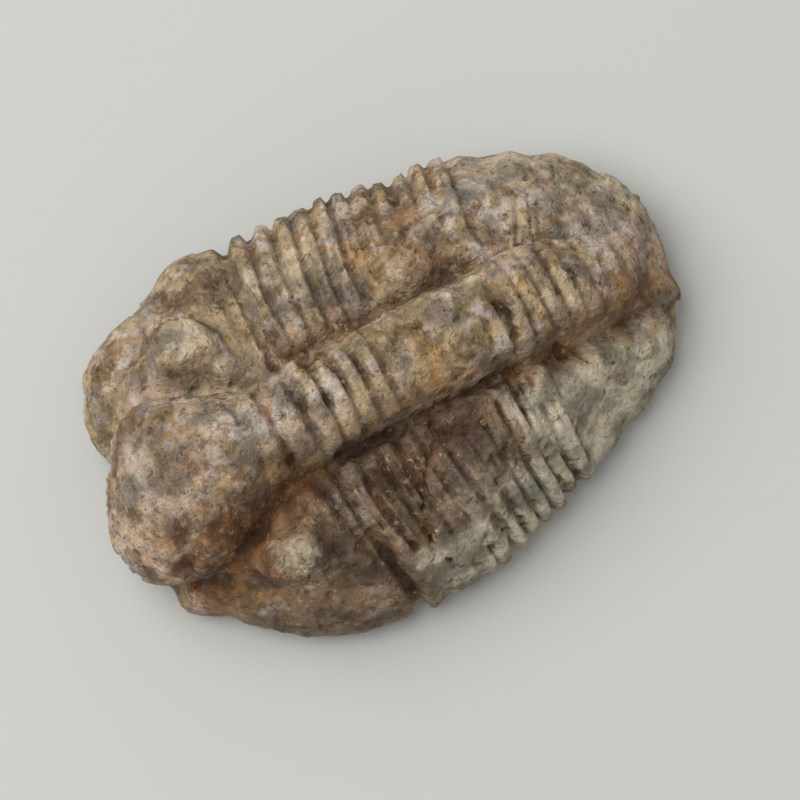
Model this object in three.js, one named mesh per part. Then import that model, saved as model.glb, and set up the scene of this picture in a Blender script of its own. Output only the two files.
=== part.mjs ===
// A fossil trilobite of the phacopid kind, loose from its bed: the arched back of the animal, with
// the stone that fills it worn flat underneath. It is one stone, so it is one solid.
// Millimetres. The head points along -X, the animal's right side is +Y, and the back is up, +Z.
// The origin is on the flat underside, at the middle of the fossil's length and width. In the
// formulas below, y = 0 is the animal's midline, and the finished mesh is then centred.
import * as THREE from "three";

// ---------- driving dimensions ----------
const FRONT_X = -24.3; // tip of the head
const REAR_X = 25.2; // end of the tail
const HALF_WIDTH = { right: 15.2, left: 16.1 }; // across the cheeks, before the ribs
const BACK_HEIGHT = 13.4; // top of the smooth back, without lobes and rings
const WIDEST_X = -6.5; // station of the greatest width, at the rear of the head

// Fullness of the outline in each quarter: 2 is an ellipse, and more is squarer.
const FULLNESS = { frontRight: 2.75, frontLeft: 2.1, rearRight: 2.75, rearLeft: 2.35 };
const BACK_FULLNESS = { along: 2.7, down: 1.75 }; // how the back rounds over to the margin
const MARGIN_Z = { right: 4.0, left: 1.9 }; // height of the margin above the underside
const MARGIN_TILT_Y = 9; // the margin's height changes from one side to the other up to this y

// The axial lobe: half-widths and rise above the back at the head, the neck and the tail.
const LOBE = {
  neckHalf: 4.15,
  browHalf: 7.5, // the glabella widens to this at the front
  tailHalf: { right: 2.4, left: 3.7 }, // the left edge stays straight to the tail's end
  browRise: 4.1,
  neckRise: 3.4,
  tailRise: 0.9,
  frontX: -24.7,
  browX: -17.2,
  fullBrowX: -19.2, // the glabella is at its widest here
  neckX: -9.6,
  fallX: 5.5, // the lobe starts to sink towards the tail
  tailStartX: 11.5,
  tailRoundX: 16.5,
  tailEndX: 23.4,
  planPower: 2.5, // squareness of the rounded ends
  archPower: 2.4, // squareness of the cross-section
  archShare: 0.85,
};
const AXIAL_FURROW = {
  gauge: 1.04, // where it runs, as a share of the lobe's half-width
  depth: 1.2,
  halfWidth: 0.75,
  tailFade: 0.5, // shallower at the tail, by this share
  wornRight: { front: 0.4, rear: 0.9, fromX: 2, toX: 14 }, // worn away on the right, by these shares
};
const MIDLINE_BLEND = 1.5; // right and left change over within this distance of the midline
// The rings fade out, and the ribs fade in, between these shares of the lobe's half-width.
const LOBE_EDGE = { ringsFrom: 0.86, ringsTo: 1.04, ribsFrom: 1.02, ribsTo: 1.24 };

// The rings and ribs.
const THORAX = { startX: -7.0, segments: 11, pitch: 1.67, ringRelief: 0.78, ribRelief: 0.72 };
const TAIL = { pitch: 1.5, ribPitch: 2.025, ringRelief: 0.42, ribRelief: 0.36 };
const TAIL_FAN = { slope: 0.42, fromY: 3, power: 1.1 }; // the tail's ribs spread back from its lobe
const TAIL_WORN = { fromX: 14, toX: 22.5, fromGauge: 0.72, toGauge: 0.9 }; // smooth at the end and rim
const THORAX_END_X = THORAX.startX + THORAX.segments * THORAX.pitch;
const SEAM = { thorax: 0.1, tail: 0.2, fan: 0.4 }; // the ribbing starts and ends within these distances
const BAND = { riseFrom: 0.06, riseTo: 0.42, fallFrom: 0.86 }; // a ring's profile, in shares of its pitch
const RING_BOW = 0.175; // how far the rings bow forward at the lobe's edge
const RIB_SWEEP = { fromShare: 0.45, back: 1.8, power: 1.6 }; // the ribs bend back outside this share

// Furrows that cross the head.
const OCCIPITAL_FURROW = { x: -9.7, depth: 0.85, halfWidth: 0.42 };
const HEAD_JOINT = { x: -7.25, depth: 0.75, halfWidth: 0.38 }; // between the head and the first rib
const GLABELLA_FURROWS = [
  { x: -11.7, depth: 0.55, halfWidth: 0.42, inner: 0.25, slant: 0.06 },
  { x: -14.2, depth: 0.26, halfWidth: 0.45, inner: 0.5, slant: 0.168 },
  { x: -16.9, depth: 0.2, halfWidth: 0.5, inner: 0.5, slant: 0.3 },
];
const GLABELLA_FURROW_BLEND = 0.25; // they fade out within this share of the half-width
const REAR_BORDER_FURROW = { x: -8.9, depth: 0.7, halfWidth: 0.5, bow: 0.01, fadeFromY: 11, fadeToY: 14.5 };
const CHEEK_BORDER = { gauge: 0.86, lipGauge: 0.95, depth: 0.55, halfWidth: 0.055, lip: 0.25 };
const CHEEK_END = { fromX: -9.5, toX: -7.5 };

const EYE = {
  x: -12.9,
  y: 9.4,
  halfLength: 3.5,
  halfWidth: 2.3,
  rise: 2.8,
  tilt: 0.35, // extra rise at the outer side
  curl: 1.4, // how far the ends bend inwards
  power: 2.6, // squareness in plan
  lean: { outer: 1.15, inner: 0.85 }, // steepness of the two sides
  wall: { from: 0.5, to: 1.08 }, // where the eye falls off, in shares of its half-size
};

// Damage: a crushed strip beside the tail's lobe, and knocks, each with its radius and depth.
const LEDGE = { fromX: 9, fullX: 15, y: -4.1, drop: 1.2, halfWidth: 1.0, groove: 1.2 };
const LEDGE_RIM = { fromGauge: 0.8, drop: 0.6 }; // the drop is less at the rim, by this share
const GROOVE_RIM = { fromGauge: 0.88, toGauge: 0.99, groove: 0.8 }; // and so is the groove
const KNOCK_SHARE = 0.7; // a knock's bell is this share of its radius
const KNOCKS = [
  { x: -20.5, y: -11.2, radius: 4.6, depth: 1.7 }, // the worn left cheek
  { x: 17.5, y: 4.5, radius: 5.0, depth: 0.35 },
  { x: -1.5, y: -13.2, radius: 2.6, depth: 0.55 },
  { x: 8.2, y: 12.6, radius: 2.4, depth: 0.45 },
  { x: 15.8, y: -10.5, radius: 3.0, depth: 0.5 },
  { x: -23.4, y: 5.2, radius: 2.2, depth: 0.4 },
];
const NUBS = [{ x: 17.0, y: 11.0, radius: 1.5, height: 0.8 }]; // a crumb of stone near the margin

// Broad unevenness of the weathered surface: waves at turned angles, each shorter and lower.
const UNEVEN = { waves: 6, length: 11, lengthRatio: 0.74, height: 0.16, heightRatio: 0.8, shift: 1.7 };

// Where the worn edge leaves the even outline, outwards or, where "out" is negative, inwards.
const WORN_EDGE = [
  { x: -8, y: 16, out: 1.5 }, // the right cheek stands out
  { x: -22.5, y: 4, out: -1.5 }, // the head steps back beside the brow
  { x: -15.5, y: -13, out: -1 }, // the left cheek is rubbed off
  { x: 9, y: -14, out: -1.5 }, // the rib ends of the left flank are lost
];
const WORN_EDGE_REACH = 6; // how far each such place spreads along the edge
const WORN_EDGE_GAUGE = { from: 0.5, to: 0.95 }; // the middle of the back stays

// Underside: the edge turns in from the margin to the flat, in rings of inset and height share.
const UNDER_RINGS = [
  { inset: 0.35, height: 0.55 },
  { inset: 1.3, height: 0.16 },
  { inset: 2.6, height: 0 },
];

// The way relief is raised: up over the crest, leaning outwards at the margin.
const RELIEF_LEAN = { most: 1.1, power: 5, up: 1.05, upLoss: 0.85, step: 0.05 };

// Mesh fineness, and how the rows of points run across the back.
const ROWS_HEAD = 31;
const ROWS_PER_SEGMENT = 4;
const ROWS_TAIL = 20;
const LOBE_COLUMNS = 7; // on each side of the midline, up to the axial furrow
const SIDE_COLUMNS = 13; // from the axial furrow to the margin
const COLUMNS = 2 * (LOBE_COLUMNS + SIDE_COLUMNS);
const END_CROWDING = 0.06; // rows stand closer near both ends of the head and of the tail
const CORNER_SHARE = 0.62; // where the end row meets the side, as a share of the half-width
const BOW_FROM = { front: 0.3, rear: 0.57 }; // rows stay straight up to this share of the way to the end
const BOW_POWER = 1.6;
const RIB_BEND = { fromX: -17, toX: 22 }; // between these the rows bend back with the ribs

// ---------- small helpers ----------
const clamp01 = (v) => Math.min(1, Math.max(0, v));
const smooth = (from, to, v) => {
  const t = clamp01((v - from) / (to - from));
  return t * t * (3 - 2 * t);
};
const bell = (v, halfWidth) => Math.exp(-((v / halfWidth) ** 2));
const mix = (a, b, t) => a + (b - a) * t;

// ---------- outline ----------
const halfWidthOf = (right) => (right ? HALF_WIDTH.right : HALF_WIDTH.left);
const reach = (front) => (front ? WIDEST_X - FRONT_X : REAR_X - WIDEST_X);

function fullness(front, right) {
  if (front) return right ? FULLNESS.frontRight : FULLNESS.frontLeft;
  return right ? FULLNESS.rearRight : FULLNESS.rearLeft;
}

// 0 at the middle of the plan and 1 on its outline.
function gauge(x, y) {
  const front = x < WIDEST_X;
  const n = fullness(front, y > 0);
  const across = Math.abs(y) / halfWidthOf(y > 0);
  const along = Math.abs(x - WIDEST_X) / reach(front);
  return (across ** n + along ** n) ** (1 / n);
}

// How far back the ribs have bent at a share of the way across.
const sweep = (share) =>
  RIB_SWEEP.back * clamp01((share - RIB_SWEEP.fromShare) / (1 - RIB_SWEEP.fromShare)) ** RIB_SWEEP.power;

// A point of the plan from its row's station on the midline and its column, counted from the
// midline. Rows bend back with the ribs along the thorax, and bow to the outline near both ends.
// One column on each side runs along the axial furrow.
function planPoint(stationX, column) {
  const right = column > 0;
  const front = stationX < WIDEST_X;
  const n = fullness(front, right);
  const along = Math.abs(stationX - WIDEST_X) / reach(front);
  const from = front ? BOW_FROM.front : BOW_FROM.rear;
  const bow = clamp01((along - from) / (1 - from)) ** BOW_POWER;
  const end = (share) => (1 - (share * CORNER_SHARE) ** n) ** (1 / n);
  const bowed = (share) =>
    WIDEST_X + (front ? -1 : 1) * reach(front) * (along - bow * (1 - end(share)));
  const bentBehindHead = smooth(RIB_BEND.fromX, THORAX.startX, stationX);
  const bent = bentBehindHead * (1 - smooth(THORAX_END_X, RIB_BEND.toX, stationX));
  const xAt = (share) => bowed(share) + bent * sweep(share);
  const sideX = xAt(1);
  const sideFront = sideX < WIDEST_X;
  const sideN = fullness(sideFront, right);
  const sideAlong = Math.abs(sideX - WIDEST_X) / reach(sideFront);
  const halfWidth = halfWidthOf(right) * (1 - sideAlong ** sideN) ** (1 / sideN);
  const furrow = AXIAL_FURROW.gauge * lobeHalfWidth(stationX, column);
  const onLobe = Math.min(Math.abs(column), LOBE_COLUMNS) / LOBE_COLUMNS;
  const beyond = Math.max(0, Math.abs(column) - LOBE_COLUMNS) / SIDE_COLUMNS;
  const distance = furrow * onLobe + (halfWidth - furrow) * beyond;
  return { x: xAt(distance / halfWidth), y: Math.sign(column) * distance };
}

// ---------- the smooth back ----------
function marginZ(y) {
  return mix(MARGIN_Z.left, MARGIN_Z.right, smooth(-MARGIN_TILT_Y, MARGIN_TILT_Y, y));
}

function backZ(x, y) {
  const inside = Math.max(0, 1 - gauge(x, y) ** BACK_FULLNESS.along);
  return marginZ(y) + (BACK_HEIGHT - marginZ(y)) * inside ** (1 / BACK_FULLNESS.down);
}

// ---------- relief on the back ----------
const rightness = (y) => smooth(-MIDLINE_BLEND, MIDLINE_BLEND, y); // 0 on the left, 1 on the right

function lobeHalfWidth(x, y) {
  const brow = smooth(LOBE.neckX, LOBE.fullBrowX, x);
  const tail = smooth(LOBE.tailStartX, LOBE.tailEndX, x);
  const tailHalf = mix(LOBE.tailHalf.left, LOBE.tailHalf.right, rightness(y));
  return mix(mix(LOBE.neckHalf, LOBE.browHalf, brow), tailHalf, tail);
}

function lobeRise(x) {
  const brow = smooth(LOBE.neckX, LOBE.browX, x);
  const tail = smooth(LOBE.fallX, LOBE.tailEndX, x);
  return mix(mix(LOBE.neckRise, LOBE.browRise, brow), LOBE.tailRise, tail);
}

// 0 on the midline of the axial lobe and 1 on its edge, closed round at the brow and the tail.
function lobeGauge(x, y) {
  const power = LOBE.planPower;
  const front = clamp01((LOBE.browX - x) / (LOBE.browX - LOBE.frontX));
  const rear = clamp01((x - LOBE.tailRoundX) / (LOBE.tailEndX - LOBE.tailRoundX));
  const across = Math.abs(y) / lobeHalfWidth(x, y);
  return (across ** power + front ** power + rear ** power) ** (1 / power);
}

function axialLobe(x, y) {
  const r = lobeGauge(x, y);
  const arch = lobeRise(x) * Math.max(0, 1 - r ** LOBE.archPower) ** LOBE.archShare;
  const { front, rear, fromX, toX } = AXIAL_FURROW.wornRight;
  const worn = rightness(y) * mix(front, rear, smooth(fromX, toX, x));
  const fade = (1 - AXIAL_FURROW.tailFade * smooth(LOBE.tailStartX, LOBE.tailEndX, x)) * (1 - worn);
  const off = (r - AXIAL_FURROW.gauge) * lobeHalfWidth(x, y);
  return arch - AXIAL_FURROW.depth * fade * bell(off, AXIAL_FURROW.halfWidth);
}

// One ring or rib across its pitch: a low front band, then a raised band with a sharp rear edge.
function band(phase) {
  const f = phase - Math.floor(phase);
  return smooth(BAND.riseFrom, BAND.riseTo, f) * (1 - smooth(BAND.fallFrom, 1, f));
}

const onLobe = (x, y) => 1 - smooth(LOBE_EDGE.ringsFrom, LOBE_EDGE.ringsTo, lobeGauge(x, y));
const offLobe = (x, y) => smooth(LOBE_EDGE.ribsFrom, LOBE_EDGE.ribsTo, lobeGauge(x, y));
const sweepAt = (y) => sweep(Math.abs(y) / halfWidthOf(y > 0));

function thorax(x, y) {
  const bowedX = x + RING_BOW * (y / LOBE.neckHalf) ** 2;
  const ring = inThorax(bowedX) * onLobe(x, y) * band((bowedX - THORAX.startX) / THORAX.pitch);
  const sweptX = x - sweepAt(y);
  const rib = inThorax(sweptX) * offLobe(x, y) * band((sweptX - THORAX.startX) / THORAX.pitch);
  return THORAX.ringRelief * ring + THORAX.ribRelief * rib;
}

// 0 before a station and 1 after it, changing over within a small distance of it.
const past = (stationX, seam, x) => smooth(stationX - seam, stationX + seam, x);
const inThorax = (x) => past(THORAX.startX, SEAM.thorax, x) * (1 - past(THORAX_END_X, SEAM.thorax, x));

function tail(x, y) {
  const start = past(THORAX_END_X, SEAM.tail, x);
  const worn = 1 - smooth(TAIL_WORN.fromX, TAIL_WORN.toX, x);
  const ring = onLobe(x, y) * band((x - THORAX_END_X) / TAIL.pitch);
  const spread = TAIL_FAN.slope * Math.max(0, Math.abs(y) - TAIL_FAN.fromY) ** TAIL_FAN.power;
  const fanX = x - THORAX_END_X - spread;
  const rim = 1 - smooth(TAIL_WORN.fromGauge, TAIL_WORN.toGauge, gauge(x, y));
  const rib = offLobe(x, y) * rim * past(0, SEAM.fan, fanX) * band(fanX / TAIL.ribPitch);
  return start * worn * (TAIL.ringRelief * ring + TAIL.ribRelief * rib);
}

function headFurrows(x, y) {
  const onIt = onLobe(x, y);
  let depth = OCCIPITAL_FURROW.depth * onIt * bell(x - OCCIPITAL_FURROW.x, OCCIPITAL_FURROW.halfWidth);
  const share = Math.abs(y) / lobeHalfWidth(x, y);
  for (const f of GLABELLA_FURROWS) {
    const line = f.x - f.slant * Math.abs(y);
    depth += f.depth * onIt * past(f.inner, GLABELLA_FURROW_BLEND, share) * bell(x - line, f.halfWidth);
  }
  return depth + HEAD_JOINT.depth * bell(x - HEAD_JOINT.x - sweepAt(y), HEAD_JOINT.halfWidth);
}

function cheeks(x, y) {
  const onHead = 1 - smooth(CHEEK_END.fromX, CHEEK_END.toX, x);
  const r = gauge(x, y);
  const border = CHEEK_BORDER.depth * bell(r - CHEEK_BORDER.gauge, CHEEK_BORDER.halfWidth) * offLobe(x, y);
  const lip = CHEEK_BORDER.lip * smooth(CHEEK_BORDER.gauge, CHEEK_BORDER.lipGauge, r);
  const furrow = REAR_BORDER_FURROW;
  const inside = 1 - smooth(furrow.fadeFromY, furrow.fadeToY, Math.abs(y));
  const rear = furrow.depth * inside * bell(x - furrow.x - furrow.bow * y * y, furrow.halfWidth);
  return onHead * (lip - border) - rear * offLobe(x, y);
}

// Each eye is a raised kidney, higher and steeper on its outer side.
function eyes(x, y) {
  const along = (x - EYE.x) / EYE.halfLength;
  const side = (Math.abs(y) - EYE.y + EYE.curl * along ** 2) / EYE.halfWidth;
  const lean = side > 0 ? EYE.lean.outer : EYE.lean.inner;
  const r = (Math.abs(side * lean) ** EYE.power + Math.abs(along) ** EYE.power) ** (1 / EYE.power);
  return (EYE.rise + EYE.tilt * side) * (1 - smooth(EYE.wall.from, EYE.wall.to, r));
}

function damage(x, y) {
  const r = gauge(x, y);
  const beside = 1 - smooth(LEDGE.y - LEDGE.halfWidth, LEDGE.y, y);
  const drop = LEDGE.drop * beside * (1 - LEDGE_RIM.drop * smooth(LEDGE_RIM.fromGauge, 1, r));
  const rim = 1 - GROOVE_RIM.groove * smooth(GROOVE_RIM.fromGauge, GROOVE_RIM.toGauge, r);
  const groove = LEDGE.groove * rim * bell(y - LEDGE.y + LEDGE.halfWidth, LEDGE.halfWidth);
  let z = -smooth(LEDGE.fromX, LEDGE.fullX, x) * (drop + groove);
  for (const k of KNOCKS) z -= k.depth * bell(Math.hypot(x - k.x, y - k.y), k.radius * KNOCK_SHARE);
  for (const n of NUBS) z += n.height * bell(Math.hypot(x - n.x, y - n.y), n.radius * KNOCK_SHARE);
  return z;
}

const GOLDEN_ANGLE = Math.PI * (3 - Math.sqrt(5));
function unevenness(x, y) {
  let z = 0;
  for (let i = 0; i < UNEVEN.waves; i++) {
    const turn = i * GOLDEN_ANGLE;
    const wave = (2 * Math.PI) / (UNEVEN.length * UNEVEN.lengthRatio ** i);
    const along = x * Math.cos(turn) + y * Math.sin(turn);
    z += UNEVEN.height * UNEVEN.heightRatio ** i * Math.sin(wave * along + UNEVEN.shift * i);
  }
  return z;
}

function relief(x, y) {
  return axialLobe(x, y) + thorax(x, y) + tail(x, y) + cheeks(x, y) + eyes(x, y) -
    headFurrows(x, y) + damage(x, y) + unevenness(x, y);
}

// ---------- mesh ----------
// Stations of the rows along the midline. The head and tail rows close up towards their ends.
function rowStations() {
  const stations = [];
  const ease = (t) => t - END_CROWDING * Math.sin(2 * Math.PI * t);
  for (let i = 0; i < ROWS_HEAD; i++) {
    stations.push(mix(FRONT_X, THORAX.startX, ease(i / ROWS_HEAD)));
  }
  const segmentRows = THORAX.segments * ROWS_PER_SEGMENT;
  for (let i = 0; i < segmentRows; i++) {
    stations.push(THORAX.startX + (i / ROWS_PER_SEGMENT) * THORAX.pitch);
  }
  for (let i = 0; i <= ROWS_TAIL; i++) {
    stations.push(mix(THORAX_END_X, REAR_X, ease(i / ROWS_TAIL)));
  }
  return stations;
}

// The way relief is raised at a point of the plan.
function reliefDirection(x, y) {
  const { most, power, up, upLoss, step } = RELIEF_LEAN;
  const outX = gauge(x + step, y) - gauge(x - step, y);
  const outY = gauge(x, y + step) - gauge(x, y - step);
  const outward = new THREE.Vector3(outX, outY, 0).normalize();
  const lean = most * Math.min(1, gauge(x, y)) ** power;
  return outward.multiplyScalar(lean).add(new THREE.Vector3(0, 0, up - lean * upLoss)).normalize();
}

// How a place of the plan moves where the edge is worn.
function edgeWear(x, y) {
  let moved = 0;
  for (const w of WORN_EDGE) moved += w.out * bell(Math.hypot(x - w.x, y - w.y), WORN_EDGE_REACH);
  const nearEdge = smooth(WORN_EDGE_GAUGE.from, WORN_EDGE_GAUGE.to, gauge(x, y));
  return new THREE.Vector3(x, y, 0).setLength(moved * nearEdge);
}

// The back as rows of points: the smooth back with its relief and its worn edge.
function backRows() {
  return rowStations().map((station) =>
    Array.from({ length: COLUMNS + 1 }, (_, j) => {
      const { x, y } = planPoint(station, j - COLUMNS / 2);
      const onBack = new THREE.Vector3(x, y, backZ(x, y));
      return onBack.addScaledVector(reliefDirection(x, y), relief(x, y)).add(edgeWear(x, y));
    }),
  );
}

// The outline's points in order, anticlockwise from above, as [row, column].
function outlineOrder(rows) {
  const last = rows.length - 1;
  const order = [];
  for (let i = 0; i < last; i++) order.push([i, 0]);
  for (let j = 0; j < COLUMNS; j++) order.push([last, j]);
  for (let i = last; i > 0; i--) order.push([i, COLUMNS]);
  for (let j = COLUMNS; j > 0; j--) order.push([0, j]);
  return order;
}

function trilobiteGeometry() {
  const rows = backRows();
  const positions = [];
  const faces = [];
  rows.flat().forEach((p) => positions.push(p.x, p.y, p.z));
  const at = (i, j) => i * (COLUMNS + 1) + j;
  for (let i = 0; i < rows.length - 1; i++) {
    for (let j = 0; j < COLUMNS; j++) {
      faces.push(at(i, j), at(i + 1, j), at(i + 1, j + 1), at(i, j), at(i + 1, j + 1), at(i, j + 1));
    }
  }
  const outline = outlineOrder(rows);
  let upper = outline.map(([i, j]) => at(i, j));
  for (const ring of UNDER_RINGS) {
    const lower = outline.map(([i, j]) => {
      const p = rows[i][j];
      const inward = new THREE.Vector2(p.x, p.y).normalize().multiplyScalar(ring.inset);
      positions.push(p.x - inward.x, p.y - inward.y, p.z * ring.height);
      return positions.length / 3 - 1;
    });
    outline.forEach((_, k) => {
      const next = (k + 1) % outline.length;
      faces.push(upper[k], lower[k], lower[next], upper[k], lower[next], upper[next]);
    });
    upper = lower;
  }
  positions.push(0, 0, 0);
  const centre = positions.length / 3 - 1;
  upper.forEach((point, k) => faces.push(point, centre, upper[(k + 1) % upper.length]));
  const geometry = new THREE.BufferGeometry();
  geometry.setAttribute("position", new THREE.Float32BufferAttribute(positions, 3));
  geometry.setIndex(faces);
  geometry.computeBoundingBox();
  const middle = geometry.boundingBox.getCenter(new THREE.Vector3());
  geometry.translate(-middle.x, -middle.y, 0);
  geometry.computeVertexNormals();
  return geometry;
}

const stone = new THREE.MeshStandardMaterial({ color: 0x8a7866, roughness: 0.85, metalness: 0 });
const trilobite = new THREE.Mesh(trilobiteGeometry(), stone);
trilobite.name = "trilobite";

const fossil = new THREE.Group();
fossil.add(trilobite);
export default fossil;
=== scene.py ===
"""Weathered fossil trilobite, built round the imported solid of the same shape.

Formulas are in millimetres, with y = 0 on the animal's midline, and the finished mesh is fitted to
the solid's box in metres. The head points along -X, the animal's right side is +Y and up is +Z.
"""

import math

import bpy
import numpy as np
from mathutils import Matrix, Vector


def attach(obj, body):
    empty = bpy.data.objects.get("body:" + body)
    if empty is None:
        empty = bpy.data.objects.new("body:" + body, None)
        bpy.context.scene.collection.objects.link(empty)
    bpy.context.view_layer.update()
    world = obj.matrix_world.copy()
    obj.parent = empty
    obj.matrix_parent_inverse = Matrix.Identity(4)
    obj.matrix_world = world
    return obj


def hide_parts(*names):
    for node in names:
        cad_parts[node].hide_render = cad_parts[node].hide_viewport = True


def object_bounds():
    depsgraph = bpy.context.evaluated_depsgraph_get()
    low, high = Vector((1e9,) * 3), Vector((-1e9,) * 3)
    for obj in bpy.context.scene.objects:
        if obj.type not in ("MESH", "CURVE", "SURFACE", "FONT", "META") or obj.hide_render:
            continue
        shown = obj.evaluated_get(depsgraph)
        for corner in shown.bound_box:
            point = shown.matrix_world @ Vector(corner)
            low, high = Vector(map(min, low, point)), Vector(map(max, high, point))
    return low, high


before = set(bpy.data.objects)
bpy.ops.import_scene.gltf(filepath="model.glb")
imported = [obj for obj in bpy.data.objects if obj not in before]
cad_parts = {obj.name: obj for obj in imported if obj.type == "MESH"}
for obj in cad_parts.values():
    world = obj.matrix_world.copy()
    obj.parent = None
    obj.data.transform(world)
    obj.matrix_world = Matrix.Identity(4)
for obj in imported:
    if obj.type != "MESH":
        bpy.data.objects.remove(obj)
CAD_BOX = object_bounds()

bl_info = {
    "name": "Trilobite fossil",
    "version": (1, 0, 0),
    "blender": (4, 5, 0),
    "location": "3D View > Sidebar > Fossil",
    "description": "Builds a weathered fossil trilobite and a plain studio round it",
    "category": "Add Mesh",
}

MM = 0.001

# ---------- dimensions of the animal, in millimetres; its main forms are the solid's ----------
FRONT_X = -24.3
REAR_X = 25.2
HALF_WIDTH = {"right": 15.2, "left": 16.1}
BACK_HEIGHT = 13.4
WIDEST_X = -6.5
FULLNESS = {"front_right": 2.75, "front_left": 2.1, "rear_right": 2.75, "rear_left": 2.35}
BACK_FULLNESS = {"along": 2.7, "down": 1.75}
MARGIN_Z = {"right": 4.0, "left": 1.9}
MARGIN_TILT_Y = 9.0  # the margin's height changes from one side to the other up to this y
MIDLINE_BLEND = 1.5  # right and left change over within this distance of the midline

LOBE = {
    "neck_half": 4.15,
    "brow_half": 7.5,
    "tail_half": {"right": 2.4, "left": 3.7},
    "brow_rise": 4.1,
    "neck_rise": 3.4,
    "tail_rise": 0.9,
    "front_x": -24.7,
    "brow_x": -17.2,
    "full_brow_x": -19.2,
    "neck_x": -9.6,
    "fall_x": 5.5,
    "tail_start_x": 11.5,
    "tail_round_x": 16.5,
    "tail_end_x": 23.4,
    "plan_power": 2.5,
    "arch_power": 2.4,
    "arch_share": 0.85,
}
AXIAL_FURROW = {"depth": 1.2, "half_width": 0.75, "gauge": 1.04, "tail_fade": 0.5}
# The furrow is worn away on the right by these shares, and more from one station to the other.
WORN_RIGHT = {"front": 0.4, "rear": 0.9, "from_x": 2.0, "to_x": 14.0}
# The rings fade out, and the ribs fade in, between these shares of the lobe's half-width.
LOBE_EDGE = {"rings": (0.86, 1.04), "ribs": (1.02, 1.24)}

THORAX_START_X = -7.0
SEGMENTS = 11
SEGMENT_PITCH = 1.67
THORAX_END_X = THORAX_START_X + SEGMENTS * SEGMENT_PITCH
SPARE_SEGMENTS = {"before": 1, "beyond": 3}  # for rings and ribs cut off by the thorax's ends
SEAM = {"thorax": 0.1, "tail": 0.2, "fan": 0.4}  # the ribbing starts and ends within these distances
# A ring's profile, in shares of its pitch, a little sharper than in the solid: a step up, a slightly
# arched top, and a sharp rear edge
BAND = {"rise": (0.04, 0.40), "fall": (0.88, 1.0), "top": 0.93, "arch": 0.07, "arch_at": 0.62, "turn": 7.0}
WHOLE_BAND = 0.999  # a shifted ring stays within its own pitch
RING_BOW = 0.175  # how far the rings bow forward at the lobe's edge
RIB_SWEEP = {"from_share": 0.45, "back": 1.8, "power": 1.6}  # the ribs bend back outside this share
RIB_BEND_X = (-17.0, 22.0)  # rows bend with the ribs only between these stations
# The slanting groove of each rib, too fine for the solid: its depth, then its half-width, place and
# slant in shares of the pitch, and the distances from the midline over which it slants and fades
RIB_GROOVE = {"depth": 0.42, "half_width": 0.12, "at": 0.42, "slant": 0.22}
RIB_GROOVE_Y = {"slant": (5.0, 12.0), "fade": (10.0, 13.0)}
# Rings and ribs differ from each other in height and place, and where stone clogs their furrows they
# end at one height. This too is left out of the solid.
UNEVEN_BAND = {"heights": (0.72, 1.15), "shift": 0.06, "clogged": 0.62, "ring_clog": 0.75, "rib_clog": 0.8}
# Stone clogs the furrows in patches, and more of them behind on the right and on the left side.
CLOG_LEVEL = (0.12, 0.50)
CLOGGED_RIGHT = {"more": 0.55, "x": (2.0, 10.0), "from_y": (2.0, 5.0), "to_y": (9.0, 12.0)}
CLOGGED_LEFT = (4.0, -9.0, 5.0, 3.0, 0.25)  # centre x, y, reach along and across, and how much more
TAIL = {"pitch": 1.5, "rib_pitch": 2.025, "ring_relief": 0.42, "rib_relief": 0.36}
TAIL_FAN = {"slope": 0.42, "from_y": 3.0, "power": 1.1}  # the tail's ribs spread back from its lobe
TAIL_WORN = {"x": (14.0, 22.5), "gauge": (0.72, 0.9)}  # smooth at the end and rim

OCCIPITAL_FURROW = {"x": -9.7, "depth": 0.85, "half_width": 0.42}
HEAD_JOINT = {"x": -7.25, "depth": 0.75, "half_width": 0.38}  # between the head and the first rib
# Furrows across the glabella: x, depth, half-width, inner share, slant
GLABELLA_FURROWS = [
    (-11.7, 0.55, 0.42, 0.25, 0.06),
    (-14.2, 0.26, 0.45, 0.50, 0.168),
    (-16.9, 0.20, 0.50, 0.50, 0.30),
]
GLABELLA_FURROW_BLEND = 0.25  # they fade out within this share of the half-width
REAR_BORDER_FURROW = {"x": -8.9, "depth": 0.7, "half_width": 0.5, "bow": 0.01, "fade_y": (11.0, 14.5)}
CHEEK_BORDER = {"gauge": 0.86, "lip_gauge": 0.95, "depth": 0.55, "half_width": 0.055, "lip": 0.25}
CHEEK_END_X = (-9.5, -7.5)
EYE = {
    "x": -12.9,
    "y": 9.4,
    "half_length": 3.5,
    "half_width": 2.3,
    "rise": 2.8,
    "tilt": 0.35,
    "curl": 1.4,
    "power": 2.6,
    "lean": {"outer": 1.15, "inner": 0.85},
    "wall": (0.5, 1.08),
}
# The crushed strip beside the tail's lobe, a ledge with a groove along it; both are less at the rim.
LEDGE = {"from_x": 9.0, "full_x": 15.0, "y": -4.1, "drop": 1.2, "half_width": 1.0, "groove": 1.2}
LEDGE_RIM = {"from_gauge": 0.8, "drop": 0.6}
GROOVE_RIM = {"gauge": (0.88, 0.99), "groove": 0.8}
KNOCK_SHARE = 0.7  # a knock's bell is this share of its radius
# Knocks, the first on the worn left cheek: x, y, radius, depth
KNOCKS = [
    (-20.5, -11.2, 4.6, 1.7),
    (17.5, 4.5, 5.0, 0.35),
    (-1.5, -13.2, 2.6, 0.55),
    (8.2, 12.6, 2.4, 0.45),
    (15.8, -10.5, 3.0, 0.5),
    (-23.4, 5.2, 2.2, 0.4),
]
NUBS = [(17.0, 11.0, 1.5, 0.8)]  # a crumb of stone near the margin
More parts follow.
